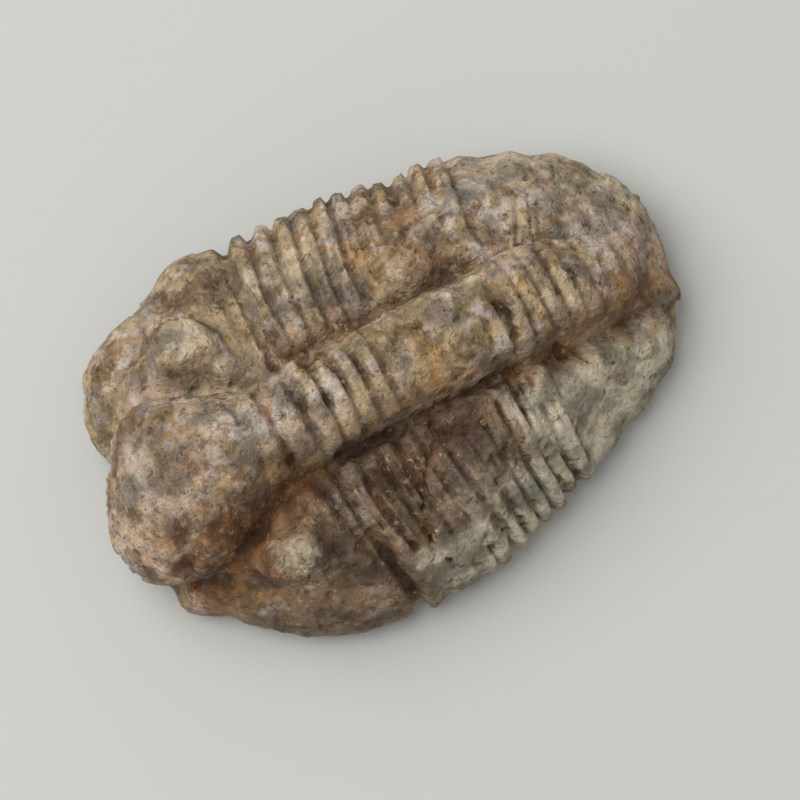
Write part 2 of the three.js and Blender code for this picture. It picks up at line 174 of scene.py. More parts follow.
# Where the worn edge leaves the even outline: x, y, and how far outwards, or inwards if negative
WORN_EDGE = [
    (-8.0, 16.0, 1.5),  # the right cheek stands out
    (-22.5, 4.0, -1.5),  # the head steps back beside the brow
    (-15.5, -13.0, -1.0),  # the left cheek is rubbed off
    (9.0, -14.0, -1.5),  # the rib ends of the left flank are lost
]
WORN_EDGE_REACH = 6.0  # how far each such place spreads along the edge
WORN_EDGE_GAUGE = (0.5, 0.95)  # the middle of the back stays
# Broad unevenness of the weathered surface: waves at turned angles, each shorter and lower
UNEVEN = {"waves": 6, "length": 11, "length_ratio": 0.74, "height": 0.16, "height_ratio": 0.8, "shift": 1.7}
GOLDEN_ANGLE = math.pi * (3.0 - math.sqrt(5.0))
# The way relief is raised: up over the crest, leaning outwards at the margin
RELIEF_LEAN = {"most": 1.1, "power": 5, "up": 1.05, "up_loss": 0.85, "step": 0.05}
TINY = {"slope": 1e-9, "distance": 1e-6}  # keeps a division from failing at the very middle
CORNER_SHARE = 0.62  # where the end row meets the side, as a share of the half-width
BOW_FROM = {"front": 0.3, "rear": 0.57}  # rows stay straight up to this share of the way to the end
BOW_POWER = 1.6

# ---------- fineness of the finished mesh ----------
ROWS = 344
COLUMNS = 236
# inset from the margin and share of its height, for the rings that turn under
UNDER_RINGS = [(0.12, 0.84), (0.28, 0.64), (0.50, 0.44), (0.85, 0.28), (1.3, 0.15), (1.9, 0.06), (2.6, 0.0)]
FLAT_RINGS = [0.93, 0.86, 0.78, 0.70, 0.61, 0.52, 0.43, 0.33, 0.22, 0.11]


# ---------- noise ----------
# Lattice noise repeats after so many cells; each seed and octave shifts it; and each octave is lower.
LATTICE = {"cells": 32, "shift": 7.3, "seed_step": 11, "gain": 0.55, "scale": 1.6}
TURN = np.array([[0.00, 0.80, 0.60], [-0.80, 0.36, -0.48], [-0.60, -0.48, 0.64]])
# Each rough noise: its wavelength in millimetres, number of octaves, and seed
ROUGH = {
    "clogging": (6.5, 3, 61),
    "crack": (4.5, 4, 81),
    "shell": (5.5, 4, 3),
    "surface": (2.2, 4, 5),
    "grain": (0.55, 2, 8),
    "pit": (1.1, 2, 21),
    "domes": (4.0, 2, 51),
    "drift": (6.0, 3, 31),
    "streaks": (2.4, 3, 42),
    "spots": (1.6, 3),  # with a seed from below
}
SEED = {"rings": 71, "ribs": 73, "rust": 41, "pale": 43}


# ---------- helpers on arrays ----------
def smooth(low, high, value):
    t = np.clip((value - low) / (high - low), 0.0, 1.0)
    return t * t * (3.0 - 2.0 * t)


def bell(value, half_width):
    return np.exp(-((value / half_width) ** 2))


def mix(a, b, t):
    return a + (b - a) * t


def past(station, seam, x):
    """0 before a station and 1 after it, changing over within a small distance of it."""
    return smooth(station - seam, station + seam, x)


def cloud(x, y, centre_x, centre_y, reach_x, reach_y, strength):
    """Fades outwards in every direction from its strength at the centre."""
    return strength * bell(x - centre_x, reach_x) * bell(y - centre_y, reach_y)


def lattice_noise(points, wavelength, seed):
    """Smooth noise from -1 to 1 at points, in millimetres, from a seeded lattice of values."""
    size = LATTICE["cells"]
    values = np.random.default_rng(seed).uniform(-1.0, 1.0, (size, size, size))
    place = points / wavelength + LATTICE["shift"] * seed
    cell = np.floor(place).astype(int)
    t = place - cell
    t = t * t * t * (t * (t * 6.0 - 15.0) + 10.0)
    total = np.zeros(len(points))
    for corner in range(8):
        step = np.array([corner & 1, (corner >> 1) & 1, (corner >> 2) & 1])
        weight = np.prod(np.where(step == 1, t, 1.0 - t), axis=1)
        index = (cell + step) % size
        total += weight * values[index[:, 0], index[:, 1], index[:, 2]]
    return total


def rough_noise(points, wavelength, octaves, seed):
    """Several turned octaves of lattice noise, scaled to about -1 to 1."""
    total, height, reach = np.zeros(len(points)), 1.0, 0.0
    for octave in range(octaves):
        total += height * lattice_noise(points, wavelength, seed + LATTICE["seed_step"] * octave)
        reach += height
        height *= LATTICE["gain"]
        wavelength *= 0.5
        points = points @ TURN.T
    return total / reach * LATTICE["scale"]


# ---------- outline and smooth back ----------
def half_width_of(right):
    return np.where(right, HALF_WIDTH["right"], HALF_WIDTH["left"])


def reach_of(front):
    return np.where(front, WIDEST_X - FRONT_X, REAR_X - WIDEST_X)


def fullness_of(front, right):
    ahead = np.where(right, FULLNESS["front_right"], FULLNESS["front_left"])
    behind = np.where(right, FULLNESS["rear_right"], FULLNESS["rear_left"])
    return np.where(front, ahead, behind)


def gauge(x, y):
    """0 at the middle of the plan and 1 on its outline."""
    front, right = x < WIDEST_X, y > 0
    n = fullness_of(front, right)
    across = np.abs(y) / half_width_of(right)
    along = np.abs(x - WIDEST_X) / reach_of(front)
    return (across**n + along**n) ** (1.0 / n)


def sweep(share):
    bent = np.clip((share - RIB_SWEEP["from_share"]) / (1.0 - RIB_SWEEP["from_share"]), 0.0, 1.0)
    return RIB_SWEEP["back"] * bent ** RIB_SWEEP["power"]


def plan_points(station, share):
    """Points of the rows at these stations, share from -1 on the left margin to 1 on the right."""
    right, front = share > 0, station < WIDEST_X
    n = fullness_of(front, right)
    way, along = np.sign(station - WIDEST_X), np.abs(station - WIDEST_X) / reach_of(front)
    start = np.where(front, BOW_FROM["front"], BOW_FROM["rear"])
    bow = np.clip((along - start) / (1.0 - start), 0.0, 1.0) ** BOW_POWER
    bent = smooth(RIB_BEND_X[0], THORAX_START_X, station)
    bent = bent * (1.0 - smooth(THORAX_END_X, RIB_BEND_X[1], station))

    def x_at(s):
        end = (1.0 - (s * CORNER_SHARE) ** n) ** (1.0 / n)
        return WIDEST_X + way * reach_of(front) * (along - bow * (1.0 - end)) + bent * sweep(s)

    side_x = x_at(1.0)
    side_front = side_x < WIDEST_X
    side_n = fullness_of(side_front, right)
    side_along = np.abs(side_x - WIDEST_X) / reach_of(side_front)
    half_width = half_width_of(right) * (1.0 - side_along**side_n) ** (1.0 / side_n)
    return x_at(np.abs(share)), share * half_width


def margin_z(y):
    return mix(MARGIN_Z["left"], MARGIN_Z["right"], smooth(-MARGIN_TILT_Y, MARGIN_TILT_Y, y))


def back_z(x, y):
    inside = np.maximum(0.0, 1.0 - gauge(x, y) ** BACK_FULLNESS["along"])
    return margin_z(y) + (BACK_HEIGHT - margin_z(y)) * inside ** (1.0 / BACK_FULLNESS["down"])


# ---------- relief ----------
def rightness(y):
    """0 on the animal's left side and 1 on its right."""
    return smooth(-MIDLINE_BLEND, MIDLINE_BLEND, y)


def lobe_half_width(x, y):
    brow = 1.0 - smooth(LOBE["full_brow_x"], LOBE["neck_x"], x)
    tail = smooth(LOBE["tail_start_x"], LOBE["tail_end_x"], x)
    tail_half = mix(LOBE["tail_half"]["left"], LOBE["tail_half"]["right"], rightness(y))
    return mix(mix(LOBE["neck_half"], LOBE["brow_half"], brow), tail_half, tail)


def lobe_rise(x):
    brow = 1.0 - smooth(LOBE["brow_x"], LOBE["neck_x"], x)
    tail = smooth(LOBE["fall_x"], LOBE["tail_end_x"], x)
    return mix(mix(LOBE["neck_rise"], LOBE["brow_rise"], brow), LOBE["tail_rise"], tail)


def lobe_gauge(x, y):
    """0 on the midline of the axial lobe and 1 on its edge, closed round at the brow and the tail."""
    power = LOBE["plan_power"]
    front = np.clip((LOBE["brow_x"] - x) / (LOBE["brow_x"] - LOBE["front_x"]), 0.0, 1.0)
    rear = np.clip((x - LOBE["tail_round_x"]) / (LOBE["tail_end_x"] - LOBE["tail_round_x"]), 0.0, 1.0)
    across = np.abs(y) / lobe_half_width(x, y)
    return (across**power + front**power + rear**power) ** (1.0 / power)


def axial_lobe(x, y):
    r = lobe_gauge(x, y)
    arch = lobe_rise(x) * np.maximum(0.0, 1.0 - r ** LOBE["arch_power"]) ** LOBE["arch_share"]
    further = smooth(WORN_RIGHT["from_x"], WORN_RIGHT["to_x"], x)
    worn = rightness(y) * mix(WORN_RIGHT["front"], WORN_RIGHT["rear"], further)
    fade = 1.0 - AXIAL_FURROW["tail_fade"] * smooth(LOBE["tail_start_x"], LOBE["tail_end_x"], x)
    fade = fade * (1.0 - worn)
    off = (r - AXIAL_FURROW["gauge"]) * lobe_half_width(x, y)
    return arch - AXIAL_FURROW["depth"] * fade * bell(off, AXIAL_FURROW["half_width"])


def band(phase):
    """A ring or rib across its pitch: a low front band, then a raised band with a sharp rear edge."""
    f = phase - np.floor(phase)
    top = BAND["top"] + BAND["arch"] * np.cos((f - BAND["arch_at"]) * BAND["turn"])
    return smooth(*BAND["rise"], f) * (1.0 - smooth(*BAND["fall"], f)) * top


def on_lobe(x, y):
    return 1.0 - smooth(*LOBE_EDGE["rings"], lobe_gauge(x, y))


def off_lobe(x, y):
    return smooth(*LOBE_EDGE["ribs"], lobe_gauge(x, y))


def in_thorax(x):
    return past(THORAX_START_X, SEAM["thorax"], x) * (1.0 - past(THORAX_END_X, SEAM["thorax"], x))


def swept_x(x, y):
    return x - sweep(np.minimum(1.0, np.abs(y) / half_width_of(y > 0)))


def plan_noise(x, y, wavelength, octaves, seed):
    """Rough noise that depends on the plan place alone."""
    x, y = np.broadcast_arrays(x, y)
    points = np.column_stack([x.ravel(), y.ravel(), np.zeros(x.size)])
    return rough_noise(points, wavelength, octaves, seed).reshape(x.shape)


def fill(x, y):
    """0 where furrows are clean and 1 where stone still clogs them."""
    drift = plan_noise(x, y, *ROUGH["clogging"])
    right = CLOGGED_RIGHT["more"] * smooth(*CLOGGED_RIGHT["x"], x)
    right = right * smooth(*CLOGGED_RIGHT["from_y"], y) * (1.0 - smooth(*CLOGGED_RIGHT["to_y"], y))
    return smooth(*CLOG_LEVEL, drift + right + cloud(x, y, *CLOGGED_LEFT))


def uneven_band(phase, side, seed):
    """Rings or ribs that differ a little from each other in height and place."""
    chance = np.random.default_rng(seed)
    kinds = SEGMENTS + SPARE_SEGMENTS["before"] + SPARE_SEGMENTS["beyond"]
    height = chance.uniform(*UNEVEN_BAND["heights"], (2, kinds))
    shift = chance.uniform(-UNEVEN_BAND["shift"], UNEVEN_BAND["shift"], (2, kinds))
    segment = np.floor(phase)
    number = np.clip(segment.astype(int) + SPARE_SEGMENTS["before"], 0, kinds - 1)
    moved = np.clip(phase + shift[side, number], segment, segment + WHOLE_BAND)
    return band(moved) * height[side, number]


def thorax(x, y, sizes):
    """Rings on the axial lobe, and ribs beside it, each parted by a slanting groove."""
    side = (y > 0).astype(int)
    clogged = fill(x, y)
    bowed_x = x + RING_BOW * (y / LOBE["neck_half"]) ** 2
    ring = uneven_band((bowed_x - THORAX_START_X) / SEGMENT_PITCH, 0 * side, SEED["rings"])
    ring = mix(ring, UNEVEN_BAND["clogged"], UNEVEN_BAND["ring_clog"] * clogged)
    ring = in_thorax(bowed_x) * on_lobe(x, y) * ring
    back_x = swept_x(x, y)
    phase = (back_x - THORAX_START_X) / SEGMENT_PITCH
    f = phase - np.floor(phase)
    groove_at = RIB_GROOVE["at"] + RIB_GROOVE["slant"] * smooth(*RIB_GROOVE_Y["slant"], np.abs(y))
    groove = bell(f - groove_at, RIB_GROOVE["half_width"])
    groove = groove * (1.0 - smooth(*RIB_GROOVE_Y["fade"], np.abs(y)))
    rib = uneven_band(phase, side, SEED["ribs"]) - RIB_GROOVE["depth"] * groove
    rib = mix(rib, UNEVEN_BAND["clogged"], UNEVEN_BAND["rib_clog"] * clogged)
    rib = in_thorax(back_x) * off_lobe(x, y) * rib
    return sizes["ring"] * ring + sizes["rib"] * rib


def tail(x, y):
    """Fainter rings and ribs, fused, that fade towards the tail's end."""
    start = past(THORAX_END_X, SEAM["tail"], x)
    worn = 1.0 - smooth(*TAIL_WORN["x"], x)
    ring = on_lobe(x, y) * band((x - THORAX_END_X) / TAIL["pitch"])
    spread = TAIL_FAN["slope"] * np.maximum(0.0, np.abs(y) - TAIL_FAN["from_y"]) ** TAIL_FAN["power"]
    fan_x = x - THORAX_END_X - spread
    rim = 1.0 - smooth(*TAIL_WORN["gauge"], gauge(x, y))
    rib = off_lobe(x, y) * rim * past(0.0, SEAM["fan"], fan_x) * band(fan_x / TAIL["rib_pitch"])
    return start * worn * (TAIL["ring_relief"] * ring + TAIL["rib_relief"] * rib)


def head_furrows(x, y):
    on = on_lobe(x, y)
    depth = OCCIPITAL_FURROW["depth"] * on * bell(x - OCCIPITAL_FURROW["x"], OCCIPITAL_FURROW["half_width"])
    for line_x, line_depth, half_width, inner, slant in GLABELLA_FURROWS:
        share = np.abs(y) / lobe_half_width(x, y)
        line = line_x - slant * np.abs(y)
        reach = past(inner, GLABELLA_FURROW_BLEND, share)
        depth = depth + line_depth * on * reach * bell(x - line, half_width)
    return depth + HEAD_JOINT["depth"] * bell(swept_x(x, y) - HEAD_JOINT["x"], HEAD_JOINT["half_width"])


def cheeks(x, y):
    on_head = 1.0 - smooth(*CHEEK_END_X, x)
    r = gauge(x, y)
    border = CHEEK_BORDER["depth"] * bell(r - CHEEK_BORDER["gauge"], CHEEK_BORDER["half_width"])
    lip = CHEEK_BORDER["lip"] * smooth(CHEEK_BORDER["gauge"], CHEEK_BORDER["lip_gauge"], r)
    rear_line = REAR_BORDER_FURROW["x"] + REAR_BORDER_FURROW["bow"] * y * y
    rear = REAR_BORDER_FURROW["depth"] * bell(x - rear_line, REAR_BORDER_FURROW["half_width"])
    rear = rear * off_lobe(x, y) * (1.0 - smooth(*REAR_BORDER_FURROW["fade_y"], np.abs(y)))
    return on_head * (lip - border * off_lobe(x, y)) - rear


def eyes(x, y):
    """Each eye is a raised kidney, higher and steeper on its outer side."""
    along = (x - EYE["x"]) / EYE["half_length"]
    side = (np.abs(y) - EYE["y"] + EYE["curl"] * along**2) / EYE["half_width"]
    lean = np.where(side > 0, EYE["lean"]["outer"], EYE["lean"]["inner"])
    r = (np.abs(side * lean) ** EYE["power"] + np.abs(along) ** EYE["power"]) ** (1.0 / EYE["power"])
    return (EYE["rise"] + EYE["tilt"] * side) * (1.0 - smooth(*EYE["wall"], r))


def damage(x, y):
    ledge = smooth(LEDGE["from_x"], LEDGE["full_x"], x)
    rim = 1.0 - smooth(LEDGE_RIM["from_gauge"], 1.0, gauge(x, y)) * LEDGE_RIM["drop"]
    drop = 1.0 - smooth(LEDGE["y"] - LEDGE["half_width"], LEDGE["y"], y)
    z = -LEDGE["drop"] * ledge * drop * rim
    edge = 1.0 - GROOVE_RIM["groove"] * smooth(*GROOVE_RIM["gauge"], gauge(x, y))
    z = z - LEDGE["groove"] * ledge * edge * bell(y - LEDGE["y"] + LEDGE["half_width"], LEDGE["half_width"])
    for knock_x, knock_y, radius, depth in KNOCKS:
        z = z - depth * bell(np.hypot(x - knock_x, y - knock_y), radius * KNOCK_SHARE)
    for nub_x, nub_y, radius, height in NUBS:
        z = z + height * bell(np.hypot(x - nub_x, y - nub_y), radius * KNOCK_SHARE)
    return z


def unevenness(x, y):
    z = 0.0
    for i in range(UNEVEN["waves"]):
        turn = i * GOLDEN_ANGLE
        wave = 2.0 * math.pi / (UNEVEN["length"] * UNEVEN["length_ratio"] ** i)
        along = x * math.cos(turn) + y * math.sin(turn)
        z = z + UNEVEN["height"] * UNEVEN["height_ratio"] ** i * np.sin(wave * along + UNEVEN["shift"] * i)
    return z


def relief(x, y, sizes):
    return (axial_lobe(x, y) + thorax(x, y, sizes) + tail(x, y) + cheeks(x, y) + eyes(x, y)
            - head_furrows(x, y) + damage(x, y) + unevenness(x, y))


def broad_form(x, y):
    """Height without rings and ribs, used only to space the mesh evenly over steep places."""
    return back_z(x, y) + axial_lobe(x, y) + eyes(x, y)


# ---------- the body's mesh ----------
# Rows and columns stand closer over the lens-bearing faces of the eyes: by how much more, and over
# what distances.
CLOSER_ROWS = {"more": 0.35, "reach": 4.5}
CLOSER_COLUMNS = {"more": 1.1, "reach_x": 4.0, "reach_y": 1.5, "out_y": 1.8}
SAMPLES = {"stations": 1601, "shares": 801}  # where distances over the back are measured
SAMPLE_SHARES = (-0.6, -0.3, 0.001, 0.3, 0.6)
EASED_OVER = {"stations": 40, "rows": 8}  # neighbours on each side that spacing is averaged with
LEAST_HALVED = 80  # a ring of the flat is halved only if it has more points


def even_stations():
    """Row stations spaced by the distance along the back, not by x."""
    dense = np.linspace(FRONT_X, REAR_X, SAMPLES["stations"])[:, None]
    x, y = plan_points(dense, np.array([SAMPLE_SHARES]))
    z = broad_form(x, y)
    steps = np.sqrt(np.diff(x, axis=0) ** 2 + np.diff(z, axis=0) ** 2).mean(axis=1)
    steps = steps * (1.0 + CLOSER_ROWS["more"] * bell(dense[1:, 0] - EYE["x"], CLOSER_ROWS["reach"]))
    side = EASED_OVER["stations"]
    window = 2 * side + 1
    steps = np.convolve(np.pad(steps, side, mode="edge"), np.ones(window) / window, mode="valid")
    along = np.concatenate([[0.0], np.cumsum(steps)])
    return np.interp(np.linspace(0.0, along[-1], ROWS + 1), along, dense[:, 0])


def closer_columns(x, y):
    beside = np.abs(y) - EYE["y"] - CLOSER_COLUMNS["out_y"]
    near = bell(x - EYE["x"], CLOSER_COLUMNS["reach_x"]) * bell(beside, CLOSER_COLUMNS["reach_y"])
    return 1.0 + CLOSER_COLUMNS["more"] * near


def even_shares(stations):
    """For each row, column shares spaced by the distance over the back, eased from row to row."""
    dense = np.linspace(-1.0, 1.0, SAMPLES["shares"])
    x, y = plan_points(stations[:, None], dense[None, :])
    z = broad_form(x, y)
    steps = np.sqrt(np.diff(x, axis=1) ** 2 + np.diff(y, axis=1) ** 2 + np.diff(z, axis=1) ** 2)
    steps = steps * closer_columns(x[:, 1:], y[:, 1:])
    along = np.concatenate([np.zeros((len(stations), 1)), np.cumsum(steps, axis=1)], axis=1)
    along /= along[:, -1:]
    side = EASED_OVER["rows"]
    padded = np.pad(along, ((side, side), (0, 0)), mode="edge")
    eased = np.stack([padded[i:i + len(stations)] for i in range(2 * side + 1)]).mean(axis=0)
    wanted = np.linspace(0.0, 1.0, COLUMNS + 1)
    return np.stack([np.interp(wanted, row, dense) for row in eased])


def relief_direction(x, y):
    """Relief is raised straight up on the crest and outwards at the margin."""
    step = RELIEF_LEAN["step"]
    out_x = gauge(x + step, y) - gauge(x - step, y)
    out_y = gauge(x, y + step) - gauge(x, y - step)
    size = np.maximum(np.hypot(out_x, out_y), TINY["slope"])
    lean = RELIEF_LEAN["most"] * np.minimum(1.0, gauge(x, y)) ** RELIEF_LEAN["power"]
    up = RELIEF_LEAN["up"] - lean * RELIEF_LEAN["up_loss"]
    way = np.stack([out_x / size * lean, out_y / size * lean, up], axis=-1)
    return way / np.linalg.norm(way, axis=-1, keepdims=True)


def edge_wear(x, y):
    """How each place of the plan moves where the edge is worn; the middle of the back stays."""
    out = sum(amount * bell(np.hypot(x - place_x, y - place_y), WORN_EDGE_REACH)
              for place_x, place_y, amount in WORN_EDGE)
    share = out * smooth(*WORN_EDGE_GAUGE, gauge(x, y)) / np.maximum(np.hypot(x, y), TINY["distance"])
    return np.stack([x * share, y * share, 0.0 * x], axis=-1)


def back_grid(sizes):
    """Points of the back, row by row."""
    stations = even_stations()
    x, y = plan_points(stations[:, None], even_shares(stations))
    back = np.stack([x, y, back_z(x, y)], axis=-1)
    return back + relief_direction(x, y) * relief(x, y, sizes)[..., None] + edge_wear(x, y)


def ring_quads(above, below):
    """Faces between two rings with as many points each."""
    return np.stack([above, below, np.roll(below, -1), np.roll(above, -1)], axis=-1)


def halving_triangles(above, below):
    """Faces between a ring and one with half as many points."""
    first, middle, last = above[0::2], above[1::2], np.roll(above, -2)[0::2]
    after = np.roll(below, -1)
    corners = ((first, below, middle), (middle, below, after), (middle, after, last))
    return [np.stack(three, axis=-1) for three in corners]


def body_arrays(sizes):
    """Vertices and faces of the closed body: the back as a grid, then rings that turn under."""
    back = back_grid(sizes)
    rows, columns = back.shape[:2]
    index = np.arange(rows * columns).reshape(rows, columns)
    faces = np.stack([index[:-1, :-1], index[1:, :-1], index[1:, 1:], index[:-1, 1:]], axis=-1)
    faces = [faces.reshape(-1, 4)]
    triangles = []
    rim = np.concatenate([index[:-1, 0], index[-1, :-1], index[:0:-1, -1], index[0, :0:-1]])
    vertices = [back.reshape(-1, 3)]
    margin = vertices[0][rim]
    inward = -margin[:, :2] / np.linalg.norm(margin[:, :2], axis=1, keepdims=True)
    above, count = rim, rows * columns
    for inset, height in UNDER_RINGS:
        below = count + np.arange(len(rim))
        vertices.append(np.column_stack([margin[:, :2] + inward * inset, margin[:, 2] * height]))
        faces.append(ring_quads(above, below))
        above, count = below, count + len(rim)
    edge = vertices[-1]
    for number, scale in enumerate(FLAT_RINGS):
        halved = number % 2 == 1 and len(edge) % 2 == 0 and len(edge) > LEAST_HALVED
        edge = edge[::2] if halved else edge
        below = count + np.arange(len(edge))
        vertices.append(edge * [scale, scale, 0.0])
        if halved:
            triangles += halving_triangles(above, below)
        else:
            faces.append(ring_quads(above, below))
        above, count = below, count + len(edge)
    vertices.append(np.zeros((1, 3)))
    triangles.append(np.stack([above, np.full(len(above), count), np.roll(above, -1)], axis=-1))
    return np.concatenate(vertices), np.concatenate(faces), np.concatenate(triangles)


def mesh_from(name, vertices, quads, triangles):
    mesh = bpy.data.meshes.new(name)
    corners = np.concatenate([quads.ravel(), triangles.ravel()])
    starts = np.concatenate([np.arange(len(quads)) * 4, len(quads) * 4 + np.arange(len(triangles)) * 3])
    mesh.vertices.add(len(vertices))
    mesh.vertices.foreach_set("co", (vertices * MM).astype(np.float32).ravel())
    mesh.loops.add(len(corners))
    mesh.loops.foreach_set("vertex_index", corners.astype(np.int32))
    mesh.polygons.add(len(starts))
    mesh.polygons.foreach_set("loop_start", starts.astype(np.int32))
    mesh.update(calc_edges=True)
    mesh.validate()
    mesh.polygons.foreach_set("use_smooth", np.ones(len(mesh.polygons), dtype=bool))
    return mesh


def read_points(mesh):
    """Places of the vertices, in millimetres."""
    values = np.empty(len(mesh.vertices) * 3, dtype=np.float32)
    mesh.vertices.foreach_get("co", values)
    return values.reshape(-1, 3).astype(float) / MM


def read_normals(mesh):
    values = np.empty(len(mesh.vertices) * 3, dtype=np.float32)
    mesh.vertex_normals.foreach_get("vector", values)
    return values.reshape(-1, 3).astype(float)


def write_points(mesh, points):
    mesh.vertices.foreach_set("co", (points * MM).astype(np.float32).ravel())
    mesh.update()


def write_attribute(mesh, name, values):
    attribute = mesh.attributes.get(name) or mesh.attributes.new(name, "FLOAT", "POINT")
    attribute.data.foreach_set("value", values.astype(np.float32))


def fit_to_box(mesh, box):
    """Stretches the mesh slightly in each direction so that it fills the solid's box exactly."""
    points = read_points(mesh) * MM
    low, high = np.array(box[0]), np.array(box[1])
    points = (points - points.min(axis=0)) / (points.max(axis=0) - points.min(axis=0))
    write_points(mesh, (low + points * (high - low)) / MM)


# ---------- weathering ----------
UNDERSIDE_Z = (0.1, 0.9)  # the stone is worn smooth below
# The shell is kept on the head and the tail's end more than between them, in patches.
SHELL = {"head": 0.28, "head_x": (-16.5, -12.0), "tail": 0.34, "tail_x": (10.0, 16.0), "lost": 0.12}
SHELL_EDGE = (-0.07, 0.0)
# Heights of the grain and of the flaked shell; the roughness left on the shell, and lost underneath
SURFACE = {"rough_on_shell": 0.45, "grain": 0.03, "flaked_off": 0.20, "smooth_under": 0.9}
# A deep pit's ragged edge, its wall in shares of its radius, and the least z of the normal round it
PIT = {"ragged": 0.35, "wall": (0.35, 1.1), "faces_up": 0.1}
# x, y, radius, depth of the deep pits
DEEP_PITS = [
    (-5.0, 3.5, 0.8, 0.9),  # beside the neck, in the right furrow
    (-9.0, 0.0, 0.6, 0.7),  # on the neck ring
    (-9.0, 2.5, 0.7, 0.8),
    (-20.0, 1.5, 0.6, 0.6),  # on the brow
    (-20.5, -6.0, 0.8, 0.8),  # in the rusty stain
    (13.0, -4.5, 0.6, 0.6),  # in the groove beside the tail
]
# A crack's half-width and wander, and where it fades out, in shares of its half-length
CRACK = {"half_width": 0.13, "wander": 1.1, "ends": (0.6, 1.0)}
# Each crack: a point of its line, its direction in degrees, its half-length, and depth
CRACKS = [
    (-1.0, -9.0, 62.0, 7.0, 0.34),
    (15.5, 3.5, 78.0, 6.5, 0.26),
    (-18.5, 3.5, 25.0, 4.5, 0.24),
    (7.0, 8.0, 20.0, 5.0, 0.24),
]


def cracks(points):
    """Depth of the thin cracks at these points."""
    x, y, _ = points.T
    wander = CRACK["wander"] * rough_noise(points, *ROUGH["crack"])
    depth = np.zeros(len(points))
    for crack_x, crack_y, direction, half_length, crack_depth in CRACKS:
        way = math.radians(direction)
        along = (x - crack_x) * math.cos(way) + (y - crack_y) * math.sin(way)
        off = -(x - crack_x) * math.sin(way) + (y - crack_y) * math.cos(way) + wander
        ends = 1.0 - smooth(*CRACK["ends"], np.abs(along) / half_length)
        depth = np.maximum(depth, crack_depth * ends * bell(off, CRACK["half_width"]))
    return depth


def deep_pits(points, normals):
    """Depth of the deep pits at these points."""
    ragged = 1.0 + PIT["ragged"] * rough_noise(points, *ROUGH["pit"])
    total = np.zeros(len(points))
    for pit_x, pit_y, radius, depth in DEEP_PITS:
        away = np.hypot(points[:, 0] - pit_x, points[:, 1] - pit_y) / radius * ragged
        total = total + depth * (1.0 - smooth(*PIT["wall"], away))
    return total * (normals[:, 2] > PIT["faces_up"])


def weather(mesh, roughness):
    """Roughens the whole stone, sinks the flaked patches and opens the deep pits."""
    points, normals = read_points(mesh), read_normals(mesh)
    x, _, z = points.T
    under = 1.0 - smooth(*UNDERSIDE_Z, z)
    head = 1.0 - smooth(*SHELL["head_x"], x)
    tail_end = smooth(*SHELL["tail_x"], x)
    kept = SHELL["head"] * head + SHELL["tail"] * tail_end - SHELL["lost"]
    shell = smooth(*SHELL_EDGE, rough_noise(points, *ROUGH["shell"]) + kept) * (1.0 - under)
    rough = rough_noise(points, *ROUGH["surface"]) * mix(1.0, SURFACE["rough_on_shell"], shell)
    grain = SURFACE["grain"] * rough_noise(points, *ROUGH["grain"])
    flake = SURFACE["flaked_off"] * (shell - 1.0)
    raised = roughness * rough + grain + flake - cracks(points) * (1.0 - under)
    raised = (raised - deep_pits(points, normals)) * (1.0 - SURFACE["smooth_under"] * under)
    write_points(mesh, points + normals * raised[:, None])
    write_attribute(mesh, "shell", shell)


# ---------- nodes ----------
COLOUR_MIX = {"below": 6, "above": 7, "result": 2}  # which sockets of a Mix node hold colours


class NodeBench:
    """Adds nodes to one tree, with values and links given together."""

    def __init__(self, tree):
        self.tree = tree

    def give(self, socket, source):
        if isinstance(source, bpy.types.NodeSocket):
            self.tree.links.new(source, socket)
        else:
            socket.default_value = source

    def add(self, kind, links=None, **settings):
        node = self.tree.nodes.new(kind)
        for key, value in settings.items():
            setattr(node, key, value)
        for key, source in (links or {}).items():
            self.give(node.inputs[key], source)
        return node

    def out(self, kind, output, links=None, **settings):
        """One output of a new node."""
        return self.add(kind, links, **settings).outputs[output]

    def maths(self, operation, *values):
        return self.out("ShaderNodeMath", 0, dict(enumerate(values)), operation=operation)

    def vectors(self, operation, *values):
        return self.out("ShaderNodeVectorMath", 0, dict(enumerate(values)), operation=operation)

    def ramp(self, value, low, high, to_low=0.0, to_high=1.0):
        return self.out("ShaderNodeMapRange", "Result", {
            "Value": value, "From Min": low, "From Max": high,
            "To Min": to_low, "To Max": to_high}, interpolation_type="SMOOTHSTEP")

    def noise(self, place, scale, detail, roughness):
        return self.out("ShaderNodeTexNoise", "Fac", {
            "Vector": place, "Scale": scale, "Detail": detail, "Roughness": roughness})

    def blend(self, amount, below, above, mode="MIX"):
        node = self.add("ShaderNodeMix", {"Factor": amount}, data_type="RGBA", blend_type=mode)
        self.give(node.inputs[COLOUR_MIX["below"]], below)
        self.give(node.inputs[COLOUR_MIX["above"]], above)
        return node.outputs[COLOUR_MIX["result"]]

    def marked(self, name):
        return self.out("ShaderNodeAttribute", "Fac", attribute_name=name, attribute_type="GEOMETRY")

    def patches(self, place, size, share, number):
        """1 in ragged patches of this size in millimetres that cover this share of the surface."""
        moved = self.vectors("ADD", place, (PATCH["step"] * number, *PATCH["shift"]))
        noise = self.noise(moved, 1.0 / (size * MM), *PATCH["noise"])
        edge = 0.5 + PATCH["spread"] * (0.5 - share)
        return self.ramp(noise, edge - PATCH["edge"], edge + PATCH["edge"])


# ---------- geometry nodes: what is scattered over or lined up on the surface ----------
RIPPLE = {"Scale": 1400.0, "Detail": 1.0}  # the noise, per metre, that makes a dome's foot ragged
MOST_DOMES = 3.0e6  # per square metre
# The lenses start outside the eye and travel inwards till they land on it. This is how far every other
# file of them is shifted, as a share of the face's height; how far the files are turned to the front,
# in radians; how far out they start, in half-sizes of the eye; and how far they may travel.
LENS_GRID = {"stagger": 0.17, "turned": 0.15, "out": 1.6, "travel": 20.0 * MM}


